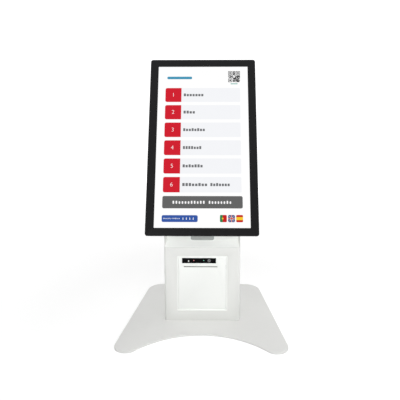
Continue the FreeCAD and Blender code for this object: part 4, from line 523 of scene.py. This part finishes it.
def make_finishes():
    """Every finish of the kiosk, named as the record's slots where a slot has it."""
    make_grain_effect()
    make_handling_effect()
    make_drawn_effect()
    finish, screen = bpy.context.scene.kiosk_finish, bpy.context.scene.kiosk_screen
    solid = make_solid_finish
    # Name, colour, roughness, scale of the grain and its depth in millimetres
    solid("white_coat", finish.coat, 0.42, 1500.0, 0.04, uneven=0.02, patch=5.0)
    # Painted light: a lighter copy of the column's coat for the panel in the display's shade.
    solid("deck_coat", finish.deck, 0.42, 1500.0, 0.04, uneven=0.02, patch=5.0)
    solid("foot_coat", finish.foot, 0.48, 1500.0, 0.05, uneven=0.02, patch=5.0)
    solid("grey_coat", finish.arm, 0.4, 1500.0, 0.03, uneven=0.04)
    solid("black_coat", (0.018, 0.018, 0.019), 0.45, 1500.0, 0.04)
    solid("printer_white", finish.printer, 0.38, 2200.0, 0.01, uneven=0.015, patch=14.0)
    solid("frame_black", finish.frame, 0.5, 1800.0, 0.04, shine=0.35)
    solid("black_plastic", (0.016, 0.016, 0.017), 0.45, 2000.0, 0.03)
    solid("rocker_black", (0.012, 0.012, 0.013), 0.2, 900.0, 0.01)
    solid("window_tint", (0.002, 0.002, 0.0025), 0.08, 700.0, 0.004, uneven=0.2, shine=0.05)
    solid("rubber", (0.02, 0.02, 0.02), 0.85, 1100.0, 0.08, uneven=0.2)
    solid("platen_rubber", (0.03, 0.03, 0.031), 0.75, 2600.0, 0.04, uneven=0.15)
    solid("nylon", (0.74, 0.72, 0.64), 0.45, 1500.0, 0.02)
    solid("gear_plastic", (0.76, 0.74, 0.66), 0.4, 1800.0, 0.02)
    solid("panel_backing", (0.42, 0.43, 0.44), 0.35, 500.0, 0.02, metal=0.8, lines=True)
    solid("magnet", (0.03, 0.03, 0.032), 0.6, 2400.0, 0.06, uneven=0.25)
    solid("core_card", (0.34, 0.23, 0.13), 0.9, 900.0, 0.08, uneven=0.2)
    solid("steel", (0.5, 0.5, 0.51), 0.32, 700.0, 0.01, metal=1.0, lines=True, uneven=0.1)
    # Painted shade: the blades' steel is much darker than the other steels, to stand in for the
    # shade inside the printer's slit, which the shadowless fill lamp leaves lit.
    solid("blade_steel", (0.16, 0.16, 0.165), 0.38, 1400.0, 0.01, metal=1.0, lines=True)
    solid("motor_steel", (0.42, 0.42, 0.43), 0.36, 800.0, 0.01, metal=1.0, lines=True)
    solid("black_screws", (0.03, 0.03, 0.032), 0.38, 1600.0, 0.02, metal=0.7)
    solid("pinion_brass", (0.62, 0.43, 0.17), 0.26, 1100.0, 0.01, metal=1.0, lines=True)
    solid("head_aluminium", (0.66, 0.67, 0.68), 0.4, 1000.0, 0.01, metal=1.0, lines=True)
    solid("lock_chrome", (0.55, 0.55, 0.56), 0.14, 900.0, 0.004, metal=1.0)
    make_glass_finish("screen_glass", finish.glass)
    make_lamp_finish("led_red_lens", (0.5, 0.16, 0.17))
    make_lamp_finish("led_green_lens", (0.12, 0.4, 0.28))
    make_board_finish("board_green")
    make_paper_finish("paper")
    for name in SETTING_INKS:
        make_lit_finish("menu_" + name, getattr(screen, name))
    for name, ink in FIXED_INKS.items():
        make_lit_finish("menu_" + name, ink)
    solid("mark_white", (0.75, 0.76, 0.76), 0.5, 1500.0, 0.01)
    solid("mark_grey", (0.42, 0.42, 0.43), 0.5, 1500.0, 0.01)


# ---- Screen pieces, drawn upright in the display's own frame ----

# Places on the lit screen are shares: across from its left edge, down from its top.
LAYER = 0.03 * MM  # Step from one layer of the menu to the next
PAGE_LAYER, TILE_LAYER, MARK_LAYER, UPPER_LAYER, TOP_LAYER = range(1, 6)
TRIM_LAYER = 9  # In front of every layer
PRINT_BACK = 0.3 * MM  # How far the menu's plates reach into the glass
GLASS_CORNER, GLASS_EDGE = 4.4 * MM, 0.3 * MM
PAGE_EDGE, PAGE_TOP = 0.008, 0.002
ROW_TOP, ROW_STEP, ROW_TALL = 0.1437, 0.112, 0.0917
ROW_LEFT, TAB_RIGHT, ROW_RIGHT = 0.0902, 0.2663, 0.909
TAB_MIDDLE = (ROW_LEFT + TAB_RIGHT) / 2
TILE_CORNER, TAB_CORNER = 2.6 * MM, 4.6 * MM
NUMBER_SIZE, NUMBER_THINNER = 14.5 * MM, 0.22 * MM

# Each word is its start, its end and how many letters it has
ROW_WORDS = (((0.292, 0.515, 7),), ((0.292, 0.424, 4),), ((0.292, 0.532, 8),),
             ((0.292, 0.495, 7),), ((0.292, 0.511, 7),), ((0.292, 0.56, 8), (0.585, 0.794, 7)))
CHECK_IN_WORDS = ((0.195, 0.541, 11), (0.569, 0.815, 8))
LINK_WORDS = ((0.104, 0.19, 8), (0.2, 0.278, 6))
# Half the height of a line's blocks, and how much of each letter's step they fill
ROW_BLOCKS, CHECK_IN_BLOCKS, LINK_BLOCKS = (0.0075, 0.74), (0.0068, 0.5), (0.003, 0.44)
ROW_LINE_DROP, CHECK_IN_LINE, LINK_LINE = 0.001, 0.8545, 0.947
TALL_SHARE, TALL_RISE = 0.3, 1.45  # How many letters are tall, and how much taller
LETTER_CORNER = 0.7 * MM

PAGE_CORNER, HEAD_CORNER, CHECK_IN_CORNER = 0.4 * MM, 3.0 * MM, 4.0 * MM
LINK_CORNER, MARK_CORNER, CODE_BAR_CORNER = 3.6 * MM, 0.6 * MM, 1.0 * MM

# Plates by their left, top, right and bottom edges
HEAD_BAR = (0.106, 0.068, 0.381, 0.085)
CHECK_IN_BUTTON = (0.088, 0.8165, 0.919, 0.8885)
LINK_BUTTON = (0.086, 0.9275, 0.456, 0.967)
LINK_MARKS = (0.305, 0.34, 0.375, 0.41)
LINK_MARK_BODY = (0.496, 0.9445, 0.504, 0.9535)  # In the middle of the screen, and moved from there
LINK_MARK_HEAD, HEAD_RADIUS = 0.9415, 0.7 * MM

FLAG_LEFTS = (0.6835, 0.767, 0.8495)
FLAG_WIDE, FLAG_TOP, FLAG_LOW = 0.0705, 0.9258, 0.9672
FLAG_CORNER = 2.6 * MM
STRIPE_RIGHT = 0.4  # Share of the first flag
BADGE_RADIUS = 2.0 * MM
BAND_HALF_LONG, BAND_HALF_TALL, BAND_TURN = 14 * MM, 0.28 * MM, math.radians(46)

CODE_LEFT, CODE_TOP, CODE_RIGHT = 0.781, 0.032, 0.911
CODE_CELLS, CODE_RING = 21, 7  # Cells along the square's side and along a corner ring's
CODE_DARK = 0.8
CELL_GAP = 0.02 * MM
CODE_BAR = (0.806, 0.113, 0.884, 0.1195)


def across(share):
    """Place across the lit screen, from its left edge."""
    return (share - 0.5) * bpy.context.scene.kiosk_screen.wide


def down(share):
    """Height on the display of a place down the lit screen, from its top."""
    screen = bpy.context.scene.kiosk_screen
    return screen.margin + screen.tall * (1 - share)


def lit_plate(left, top, right, bottom, layer, radius=0.0, wanted=lambda spot: True):
    """A thin plate of the menu, by its shares of the lit screen, in front of lower layers."""
    plate = add_block("plate", (across(left), -layer * LAYER, down(bottom)),
                      (across(right), PRINT_BACK, down(top)))
    if radius:
        round_upright(plate, radius, wanted)
    return plate


def complete_lit(name, parts, ink, eased=True):
    """One piece of the menu, made of plates in the display's frame, in its ink."""
    piece = join(name, parts)
    if eased:
        ease_edges(piece, 0.2 * LAYER, 1, 60)
    move_by(piece, display_place())
    return complete(piece, "display", "menu_" + ink)


def build_glass():
    """Cover glass with eased corners, and the lit page that shows through it."""
    place = display_place()
    corners = [place.inverted() @ vertex.co for vertex in NODES["touch_glass"].data.vertices]
    low, high = (Vector(map(pick, zip(*corners))) for pick in (min, max))
    glass = add_block("glass_border", low, high)
    round_upright(glass, GLASS_CORNER)
    ease_edges(glass, GLASS_EDGE, angle=60)
    complete(move_by(glass, place), "display", "screen_glass", ("touch_glass",))
    page = lit_plate(PAGE_EDGE, PAGE_TOP, 1 - PAGE_EDGE / 2, 1, PAGE_LAYER, PAGE_CORNER)
    complete_lit("lit_page", [page], "page")


def word_blocks(draw, words, middle, shape):
    """Small round-cornered blocks, one for each letter that the words of a line would have."""
    half_tall, fill = shape
    blocks = []
    for start, end, count in words:
        step = (end - start) / count
        for index in range(count):
            left = start + index * step
            tall = index == 0 or draw.random() < TALL_SHARE
            rise = half_tall * (TALL_RISE if tall else 1.0)
            blocks.append(lit_plate(left, middle - rise, left + step * fill, middle + half_tall,
                                    MARK_LAYER, LETTER_CORNER))
    return blocks


def build_menu_rows():
    """Six rows: a pale tile, a numbered tab at its left end, and blocks for a row's words."""
    low = ROW_TOP + ROW_TALL
    tile = lit_plate(ROW_LEFT, ROW_TOP, ROW_RIGHT, low, TILE_LAYER, TILE_CORNER)
    tab = lit_plate(ROW_LEFT, ROW_TOP, TAB_RIGHT, low, MARK_LAYER, TAB_CORNER,
                    lambda spot: spot.x < across(TAB_MIDDLE))
    blocks, numbers, places = [], [], []
    draw = random.Random(5)
    for index, words in enumerate(ROW_WORDS):
        drop = index * ROW_STEP
        places.append(Matrix.Translation((0, 0, down(drop) - down(0))))
        middle = ROW_TOP + drop + ROW_TALL / 2
        blocks += word_blocks(draw, words, middle + ROW_LINE_DROP, ROW_BLOCKS)
        numbers.append(add_number(str(index + 1), middle))
    complete_lit("menu_tiles", repeat(tile, places), "row")
    complete_lit("menu_tabs", repeat(tab, places), "tab")
    complete_lit("menu_words", blocks, "word")
    complete_lit("menu_numbers", numbers, "page", eased=False)


def add_number(word, share):
    """A plain number as a thin plate that faces -Y, in the middle of the tabs."""
    take(None)
    bpy.ops.object.text_add()
    label = bpy.context.object
    label.data.body = word
    label.data.size = NUMBER_SIZE
    label.data.align_x = label.data.align_y = "CENTER"
    half_thick = 0.5 * LAYER * UPPER_LAYER
    label.data.extrude = half_thick
    label.data.offset = -NUMBER_THINNER
    bpy.ops.object.convert(target="MESH")
    centre = Matrix.Translation((across(TAB_MIDDLE), -half_thick, down(share)))
    return move_by(bpy.context.object, centre @ Matrix.Rotation(math.pi / 2, 4, "X"))


def build_screen_buttons():
    """Head bar, the wide grey button and the small blue one, with blocks and marks on them."""
    for name, edges, corner, ink in (
            ("menu_head", HEAD_BAR, HEAD_CORNER, "accent"),
            ("check_in_button", CHECK_IN_BUTTON, CHECK_IN_CORNER, "button"),
            ("link_button", LINK_BUTTON, LINK_CORNER, "link")):
        complete_lit(name, [lit_plate(*edges, TILE_LAYER, corner)], ink)
    draw = random.Random(3)
    marks = word_blocks(draw, CHECK_IN_WORDS, CHECK_IN_LINE, CHECK_IN_BLOCKS)
    marks += word_blocks(draw, LINK_WORDS, LINK_LINE, LINK_BLOCKS)
    thick = MARK_LAYER * LAYER
    head = add_disc("mark_head", (0, -thick / 2, down(LINK_MARK_HEAD)), HEAD_RADIUS, thick, 16)
    body = lit_plate(*LINK_MARK_BODY, MARK_LAYER, MARK_CORNER)
    places = [Matrix.Translation((across(share), 0, 0)) for share in LINK_MARKS]
    marks += repeat(head, places) + repeat(body, places)
    complete_lit("button_marks", marks, "page")


def flag_part(index, left, top, right, bottom, layer, radius=0.0, wanted=lambda spot: True):
    """A plate of one flag, by its shares of the flag."""
    start, tall = FLAG_LEFTS[index], FLAG_LOW - FLAG_TOP
    return lit_plate(start + FLAG_WIDE * left, FLAG_TOP + tall * top, start + FLAG_WIDE * right,
                     FLAG_TOP + tall * bottom, layer, radius, wanted)


def flag_spot(index, share, depth):
    """A place half way up one flag, by its share across the flag."""
    return Vector((across(FLAG_LEFTS[index] + FLAG_WIDE * share), depth,
                   down((FLAG_TOP + FLAG_LOW) / 2)))


def build_flags():
    """Three plain language flags with round corners."""
    reds = [flag_part(index, 0, 0, 1, 1, TILE_LAYER, FLAG_CORNER) for index in (0, 2)]
    reds += [flag_part(1, 0.45, 0, 0.55, 1, TOP_LAYER), flag_part(1, 0, 0.44, 1, 0.56, TOP_LAYER)]
    stripe_middle = flag_spot(0, STRIPE_RIGHT / 2, 0).x
    stripe = flag_part(0, 0, 0, STRIPE_RIGHT, 1, MARK_LAYER, FLAG_CORNER,
                       lambda spot: spot.x < stripe_middle)
    band = flag_part(2, 0, 0.29, 1, 0.71, MARK_LAYER)
    thick = UPPER_LAYER * LAYER
    badge = add_disc("round_badge", flag_spot(0, STRIPE_RIGHT, -thick / 2), BADGE_RADIUS, thick, 24)
    navy = flag_part(1, 0, 0, 1, 1, TILE_LAYER, FLAG_CORNER)
    whites = [flag_part(1, 0.42, 0, 0.58, 1, UPPER_LAYER),
              flag_part(1, 0, 0.41, 1, 0.59, UPPER_LAYER)]
    whites += [flag_diagonal(turn) for turn in (-BAND_TURN, BAND_TURN)]
    complete_lit("flag_reds", reds, "red")
    complete_lit("flag_greens", [stripe], "green")
    complete_lit("flag_yellows", [band, badge], "yellow")
    complete_lit("flag_navy", [navy], "navy")
    complete_lit("flag_whites", whites, "page")


def flag_diagonal(turn):
    """One slanting band of the middle flag, trimmed to its round corners."""
    half = Vector((BAND_HALF_LONG, MARK_LAYER * LAYER, BAND_HALF_TALL))
    band = add_block("band", -half, half)
    move_by(band, Matrix.Translation(flag_spot(1, 0.5, 0)) @ Matrix.Rotation(turn, 4, "Y"))
    carve(band, flag_part(1, 0, 0, 1, 1, TRIM_LAYER, FLAG_CORNER), "INTERSECT")
    return band


def code_cell(draw, column, row):
    """Whether a cell is dark: rings with dark middles in three corners, random cells elsewhere."""
    last = CODE_CELLS - 1
    far = CODE_CELLS - CODE_RING
    for corner_x, corner_y in ((0, 0), (far, 0), (0, far)):
        x, y = column - corner_x, row - corner_y
        if -1 <= x <= CODE_RING and -1 <= y <= CODE_RING:
            ring = max(abs(x - CODE_RING // 2), abs(y - CODE_RING // 2))
            return ring == CODE_RING // 2 or ring <= 1
    if max(abs(column - last / 2), abs(row - last / 2)) < 2:
        return False
    return draw.random() < CODE_DARK


def build_code_square():
    """A square of plain random cells with a ring in three corners. It holds no message."""
    size = (across(CODE_RIGHT) - across(CODE_LEFT)) / CODE_CELLS
    draw = random.Random(11)
    parts = []
    for row in range(CODE_CELLS):
        foot = down(CODE_TOP) - (row + 1) * size
        start = None
        for column in range(CODE_CELLS + 1):
            dark = column < CODE_CELLS and code_cell(draw, column, row)
            edge = across(CODE_LEFT) + column * size
            if dark and start is None:
                start = edge
            elif not dark and start is not None:
                parts.append(add_block("cell", (start, -TILE_LAYER * LAYER, foot + CELL_GAP),
                                       (edge - CELL_GAP, 0, foot + size)))
                start = None
    complete_lit("code_square", parts, "black")
    complete_lit("code_bar", [lit_plate(*CODE_BAR, TILE_LAYER, CODE_BAR_CORNER)], "green_word")


# ---- Marks, lamps and fasteners ----

# Places on the status window, across from its middle and up from its middle line
SHEET_LEFT, SHEET_RIGHT, SHEET_LOW, SHEET_HIGH = -33.9 * MM, -31.5 * MM, -2.8 * MM, 1.0 * MM
SHEET_CORNER = 1.0 * MM
RING_PLACE, RING_OUTER, RING_INNER = 16.8 * MM, 3.3 * MM, 2.5 * MM
BAR_LOW, BAR_HIGH, BAR_HALF_WIDE = -1.6 * MM, 3.6 * MM, 0.3 * MM
MARK_THICK = 0.2 * MM
LENS_RADIUS, LENS_THICK = 1.1 * MM, 1.0 * MM


def build_status_marks():
    """Printed marks on the status window, a sheet and a ring, and the two lamps between them."""
    low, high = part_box("status_window")
    face = low.y - LAYER
    middle = (low.z + high.z) / 2
    sheet = add_block("sheet_mark", (SHEET_LEFT, face, middle + SHEET_LOW),
                      (SHEET_RIGHT, face + MARK_THICK, middle + SHEET_HIGH))
    sheet_middle = (SHEET_LEFT + SHEET_RIGHT) / 2
    round_upright(sheet, SHEET_CORNER, lambda spot: spot.x > sheet_middle and spot.z > middle, 1)
    centre = (RING_PLACE, face + MARK_THICK / 2, middle)
    ring = add_disc("ring_mark", centre, RING_OUTER, MARK_THICK)
    carve(ring, add_disc("ring_hole", centre, RING_INNER, 10 * MARK_THICK))
    bar = add_block("ring_bar", (-BAR_HALF_WIDE, 0, BAR_LOW), (BAR_HALF_WIDE, MARK_THICK, BAR_HIGH))
    slant = Matrix.Rotation(math.radians(-45), 4, "Y")
    move_by(bar, Matrix.Translation((RING_PLACE, face, middle)) @ slant)
    complete(sheet, "printer_front", "mark_white")
    complete(join("ring_mark", [ring, bar]), "printer_front", "mark_grey")
    lens = add_disc("lens", (0, low.y, 0), LENS_RADIUS, LENS_THICK, 24)
    ease_edges(lens, 0.45 * MM, 4, 60)
    lamps, places = ("led_red", "led_green"), []
    for name in lamps:
        lamp_low, lamp_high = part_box(name)
        spot = (lamp_low + lamp_high) / 2
        places.append(Matrix.Translation((spot.x, 0, spot.z)))
    for name, piece in zip(lamps, repeat(lens, places)):
        finish = name + "_lens"
        complete(join(finish, [piece]), "printer_front", finish)


def cross_head(radius, high):
    """A pan head that stands on the origin along +Y, with a cross recess."""
    head = add_disc("head", (0, high / 2, 0), radius, high)
    ease_edges(head, high * 0.35, 3, 60)
    wide, long = radius * 0.22, radius * 0.62
    for x, z in ((long, wide), (wide, long)):
        carve(head, add_block("recess", (-x, high * 0.45, -z), (x, high * 1.2, z)))
    return head


def socket_head(radius, high):
    """A button head that stands on the origin along +Y, with a six-sided socket."""
    head = add_disc("head", (0, high / 2, 0), radius, high)
    ease_edges(head, high * 0.45, 4, 60)
    carve(head, add_disc("socket", (0, high * 1.2, 0), radius * 0.48, high * 1.6, 6))
    return head


def build_screws(node, body, slot, make_head, turn, matrix, thread):
    """Replace a node's fasteners, all of one size, by screws with a head and a plain shank."""
    place = matrix @ Matrix.Rotation(turn, 4, "X")
    solids = solids_of(node, place)
    size = solids[0][1] - solids[0][0]
    radius = size.x / 2
    tall = radius * 0.62
    shank_long = size.y - tall
    shank = add_disc("shank", (0, -shank_long / 2, 0), thread, shank_long, 16)
    ease_edges(shank, thread * 0.3, 1, 60)
    screw = join("screw", [make_head(radius, tall), shank])
    spots = [place @ Matrix.Translation(((low.x + high.x) / 2, high.y - tall, (low.z + high.z) / 2))
             for low, high in solids]
    piece = join(node.replace("_screws", "") + "_fasteners", repeat(screw, spots))
    complete(piece, body, slot, (node,))


def build_fasteners():
    place, level = display_place(), Matrix.Identity(4)
    for node, body, slot, make_head, turn, matrix, thread in (
            ("vesa_screws", "display", "steel", socket_head, 0, place, 2.0),
            ("housing_screws", "display", "black_screws", cross_head, 0, place, 1.5),
            ("sill_screws", "column", "steel", cross_head, 0, level, 1.5),
            ("printer_screws", "column", "steel", cross_head, 0, level, 1.3),
            ("arm_screws", "column", "steel", socket_head, math.pi, place, 2.0),
            ("column_screws", "column", "steel", socket_head, -math.pi / 2, level, 2.5)):
        build_screws(node, body, slot, make_head, turn, matrix, thread * MM)


# Node, body and how wide its edges are eased, in millimetres
SOFT_EDGES = (("printer_door", "printer_front", 0.35), ("status_window", "printer_front", 0.2),
              ("printer_bezel", "column", 0.4), ("column_shell", "column", 0.4),
              ("deck_panel", "column", 0.15), ("base_plate", "column", 0.9),
              ("rear_sill", "column", 0.4), ("mount_arm", "column", 0.5),
              ("rear_door", "service_door", 0.4), ("display_frame", "display", 0.6),
              ("rear_housing", "display", 0.5), ("vesa_plate", "display", 0.4))


def finish_of(node):
    """A node's finish is its slot's, but the deck panel has a lighter copy of the column's coat:
    painted light, so that the panel renders bright in the shade of the display above it.
    """
    return "deck_coat" if node == "deck_panel" else SLOT_OF[node]


def build_soft_edges():
    """Pieces whose moulded or folded edges catch the light."""
    for node, body, width in SOFT_EDGES:
        piece = softened(node, width * MM, node + "_soft")
        complete(piece, body, finish_of(node), (node,))


def dress_cad_nodes():
    """Give every CAD node its finish."""
    for name, piece in NODES.items():
        piece.data.materials.clear()
        piece.data.materials.append(FINISHES[finish_of(name)])


# ---- Stage ----

FLOOR_SIZE, FLOOR_PARTS = 14.0, 4
BACKDROP = (0.0, 1.5, 6.0)  # From the floor's far edge to the backdrop's top
LIFT_NEAR, LIFT_FAR = (0.4, 0.26), (2.6, 0.95)  # Distance from the kiosk and the floor's own light
LAMP_AIM = Vector((0.0, 0.0, 0.2))
# Name, place, width and height of each lamp
LAMPS = (("front", (0.3, -2.5, 1.25), 4.0, 0.8), ("back", (0.4, 2.5, 1.0), 4.0, 0.8),
         ("fill", (0.68, -1.28, 2.3), 3.0, 3.0))
WHITE = (1.0, 1.0, 1.0, 1.0)


def seen_directly(board):
    """1 for rays from the camera, a mirror or glass, and 0 for light that falls on things."""
    path = board.add("ShaderNodeLightPath").outputs
    either = board.maths("MAXIMUM", path["Is Camera Ray"], path["Is Glossy Ray"])
    return board.maths("MAXIMUM", either, path["Is Transmission Ray"])


def make_floor_finish():
    """A pale floor that shows white where nothing shades it, also far off from the lamps."""
    board, shader, spot = start_finish("stage_floor")
    mask = effect(board, "Handling", spot, 1.5)
    tint = board.blend(mask, shade(WHITE, 0.78), shade(WHITE, 0.8))
    board.tree.links.new(tint, shader.inputs["Base Color"])
    shader.inputs["Roughness"].default_value = 0.9
    shader.inputs["Specular IOR Level"].default_value = 0.0
    shader.inputs["Emission Color"].default_value = WHITE
    away = board.add("ShaderNodeVectorMath", {0: spot}, operation="LENGTH").outputs["Value"]
    lift = board.spread(away, LIFT_NEAR[0], LIFT_FAR[0], LIFT_NEAR[1], LIFT_FAR[1])
    board.tree.links.new(board.maths("MULTIPLY", seen_directly(board), lift),
                         shader.inputs["Emission Strength"])


def add_floor():
    """The floor, with the backdrop that rises from its far edge."""
    make_floor_finish()
    take(None)
    bpy.ops.mesh.primitive_grid_add(x_subdivisions=FLOOR_PARTS, y_subdivisions=FLOOR_PARTS,
                                    size=FLOOR_SIZE)
    floor = settle("stage_floor")
    pick_edges(floor, lambda a, b: min(a.y, b.y) > 0.49 * FLOOR_SIZE)
    bpy.ops.mesh.extrude_region_move(TRANSFORM_OT_translate={"value": BACKDROP})
    leave_edit()
    floor.data.materials.append(FINISHES["stage_floor"])


def add_lamps(stage):
    """Wide soft lamps that no gloss shows. The fill lamp gives no shadow."""
    for name, place, wide, tall in LAMPS:
        take(None)
        aim = (LAMP_AIM - Vector(place)).to_track_quat("-Z", "Y").to_euler()
        bpy.ops.object.light_add(type="AREA", location=place, rotation=aim)
        lamp = bpy.context.object
        lamp.name = name + "_lamp"
        lamp.data.shape = "RECTANGLE"
        lamp.data.energy = getattr(stage, name)
        lamp.data.size, lamp.data.size_y = wide, tall
        if name == "fill":
            lamp.data.use_shadow = False
            lamp.data.cycles.use_multiple_importance_sampling = False
        lamp.visible_glossy = False


def add_sky(level):
    """A white surround that lights the kiosk at a level of its own."""
    world = bpy.data.worlds.new("Studio")
    world.use_nodes = True
    bpy.context.scene.world = world
    board = Board(world.node_tree)
    background = world.node_tree.nodes["Background"]
    background.inputs["Color"].default_value = WHITE
    strength = board.spread(seen_directly(board), 0.0, 1.0, level, 1.0)
    board.tree.links.new(strength, background.inputs["Strength"])


def add_camera(stage):
    bpy.ops.object.camera_add(location=stage.camera,
                              rotation=(math.pi / 2 - stage.pitch, 0, stage.yaw))
    camera = bpy.context.object
    camera.data.lens = stage.lens
    camera.data.shift_x, camera.data.shift_y = stage.shift
    camera.data.clip_start = 0.01
    bpy.context.scene.camera = camera


def build_stage():
    stage = bpy.context.scene.kiosk_stage
    add_floor()
    add_lamps(stage)
    add_sky(stage.sky)
    add_camera(stage)
    bpy.context.scene.view_settings.view_transform = "Standard"


# ---- Operators, panel and registration ----

class KIOSK_OT_dress(bpy.types.Operator):
    """Make the finishes and give them to the CAD pieces"""
    bl_idname = "kiosk.dress"
    bl_label = "Dress the CAD pieces"

    def execute(self, context):
        make_finishes()
        dress_cad_nodes()
        return {"FINISHED"}


class KIOSK_OT_glass(bpy.types.Operator):
    """Add the cover glass and the lit page"""
    bl_idname = "kiosk.glass"
    bl_label = "Cover glass"

    def execute(self, context):
        build_glass()
        return {"FINISHED"}


class KIOSK_OT_menu_rows(bpy.types.Operator):
    """Add the six rows of the menu"""
    bl_idname = "kiosk.menu_rows"
    bl_label = "Menu rows"

    def execute(self, context):
        build_menu_rows()
        return {"FINISHED"}


class KIOSK_OT_screen_buttons(bpy.types.Operator):
    """Add the head bar and the buttons of the menu"""
    bl_idname = "kiosk.screen_buttons"
    bl_label = "Screen buttons"

    def execute(self, context):
        build_screen_buttons()
        return {"FINISHED"}


class KIOSK_OT_flags(bpy.types.Operator):
    """Add the three language flags of the menu"""
    bl_idname = "kiosk.flags"
    bl_label = "Language flags"

    def execute(self, context):
        build_flags()
        return {"FINISHED"}


class KIOSK_OT_code_square(bpy.types.Operator):
    """Add the square of random cells"""
    bl_idname = "kiosk.code_square"
    bl_label = "Code square"

    def execute(self, context):
        build_code_square()
        return {"FINISHED"}


class KIOSK_OT_status_marks(bpy.types.Operator):
    """Add the marks and lamps of the printer's status window"""
    bl_idname = "kiosk.status_marks"
    bl_label = "Status marks"

    def execute(self, context):
        build_status_marks()
        return {"FINISHED"}


class KIOSK_OT_fasteners(bpy.types.Operator):
    """Replace the plain screws with screws that have heads and sockets"""
    bl_idname = "kiosk.fasteners"
    bl_label = "Fasteners"

    def execute(self, context):
        build_fasteners()
        return {"FINISHED"}


class KIOSK_OT_soft_edges(bpy.types.Operator):
    """Replace the moulded and folded pieces with ones whose edges are eased"""
    bl_idname = "kiosk.soft_edges"
    bl_label = "Eased edges"

    def execute(self, context):
        build_soft_edges()
        return {"FINISHED"}


class KIOSK_OT_stage(bpy.types.Operator):
    """Add the floor, lamps, sky and camera"""
    bl_idname = "kiosk.stage"
    bl_label = "Stage"

    def execute(self, context):
        build_stage()
        return {"FINISHED"}


OPERATORS = (KIOSK_OT_dress, KIOSK_OT_glass, KIOSK_OT_menu_rows, KIOSK_OT_screen_buttons,
             KIOSK_OT_flags, KIOSK_OT_code_square, KIOSK_OT_status_marks, KIOSK_OT_fasteners,
             KIOSK_OT_soft_edges, KIOSK_OT_stage)
SETTINGS = {"kiosk_screen": KioskScreenSettings, "kiosk_finish": KioskFinishSettings,
            "kiosk_stage": KioskStageSettings}


class KIOSK_PT_panel(bpy.types.Panel):
    """Steps and settings of the ticket kiosk"""
    bl_label = "Ticket kiosk"
    bl_idname = "KIOSK_PT_panel"
    bl_space_type = "VIEW_3D"
    bl_region_type = "UI"
    bl_category = "Kiosk"

    def draw(self, context):
        for operator in OPERATORS:
            self.layout.operator(operator.bl_idname)
        for name, group in SETTINGS.items():
            box = self.layout.box()
            for prop in group.__annotations__:
                box.prop(getattr(context.scene, name), prop)


def register():
    for group in (*SETTINGS.values(), *OPERATORS, KIOSK_PT_panel):
        bpy.utils.register_class(group)
    for name, group in SETTINGS.items():
        setattr(bpy.types.Scene, name, bpy.props.PointerProperty(type=group))


def unregister():
    for name in SETTINGS:
        delattr(bpy.types.Scene, name)
    for group in (KIOSK_PT_panel, *OPERATORS, *SETTINGS.values()):
        bpy.utils.unregister_class(group)


def main():
    register()
    for operator in OPERATORS:
        family, step = operator.bl_idname.split(".")
        getattr(getattr(bpy.ops, family), step)()


if __name__ == "__main__":
    main()
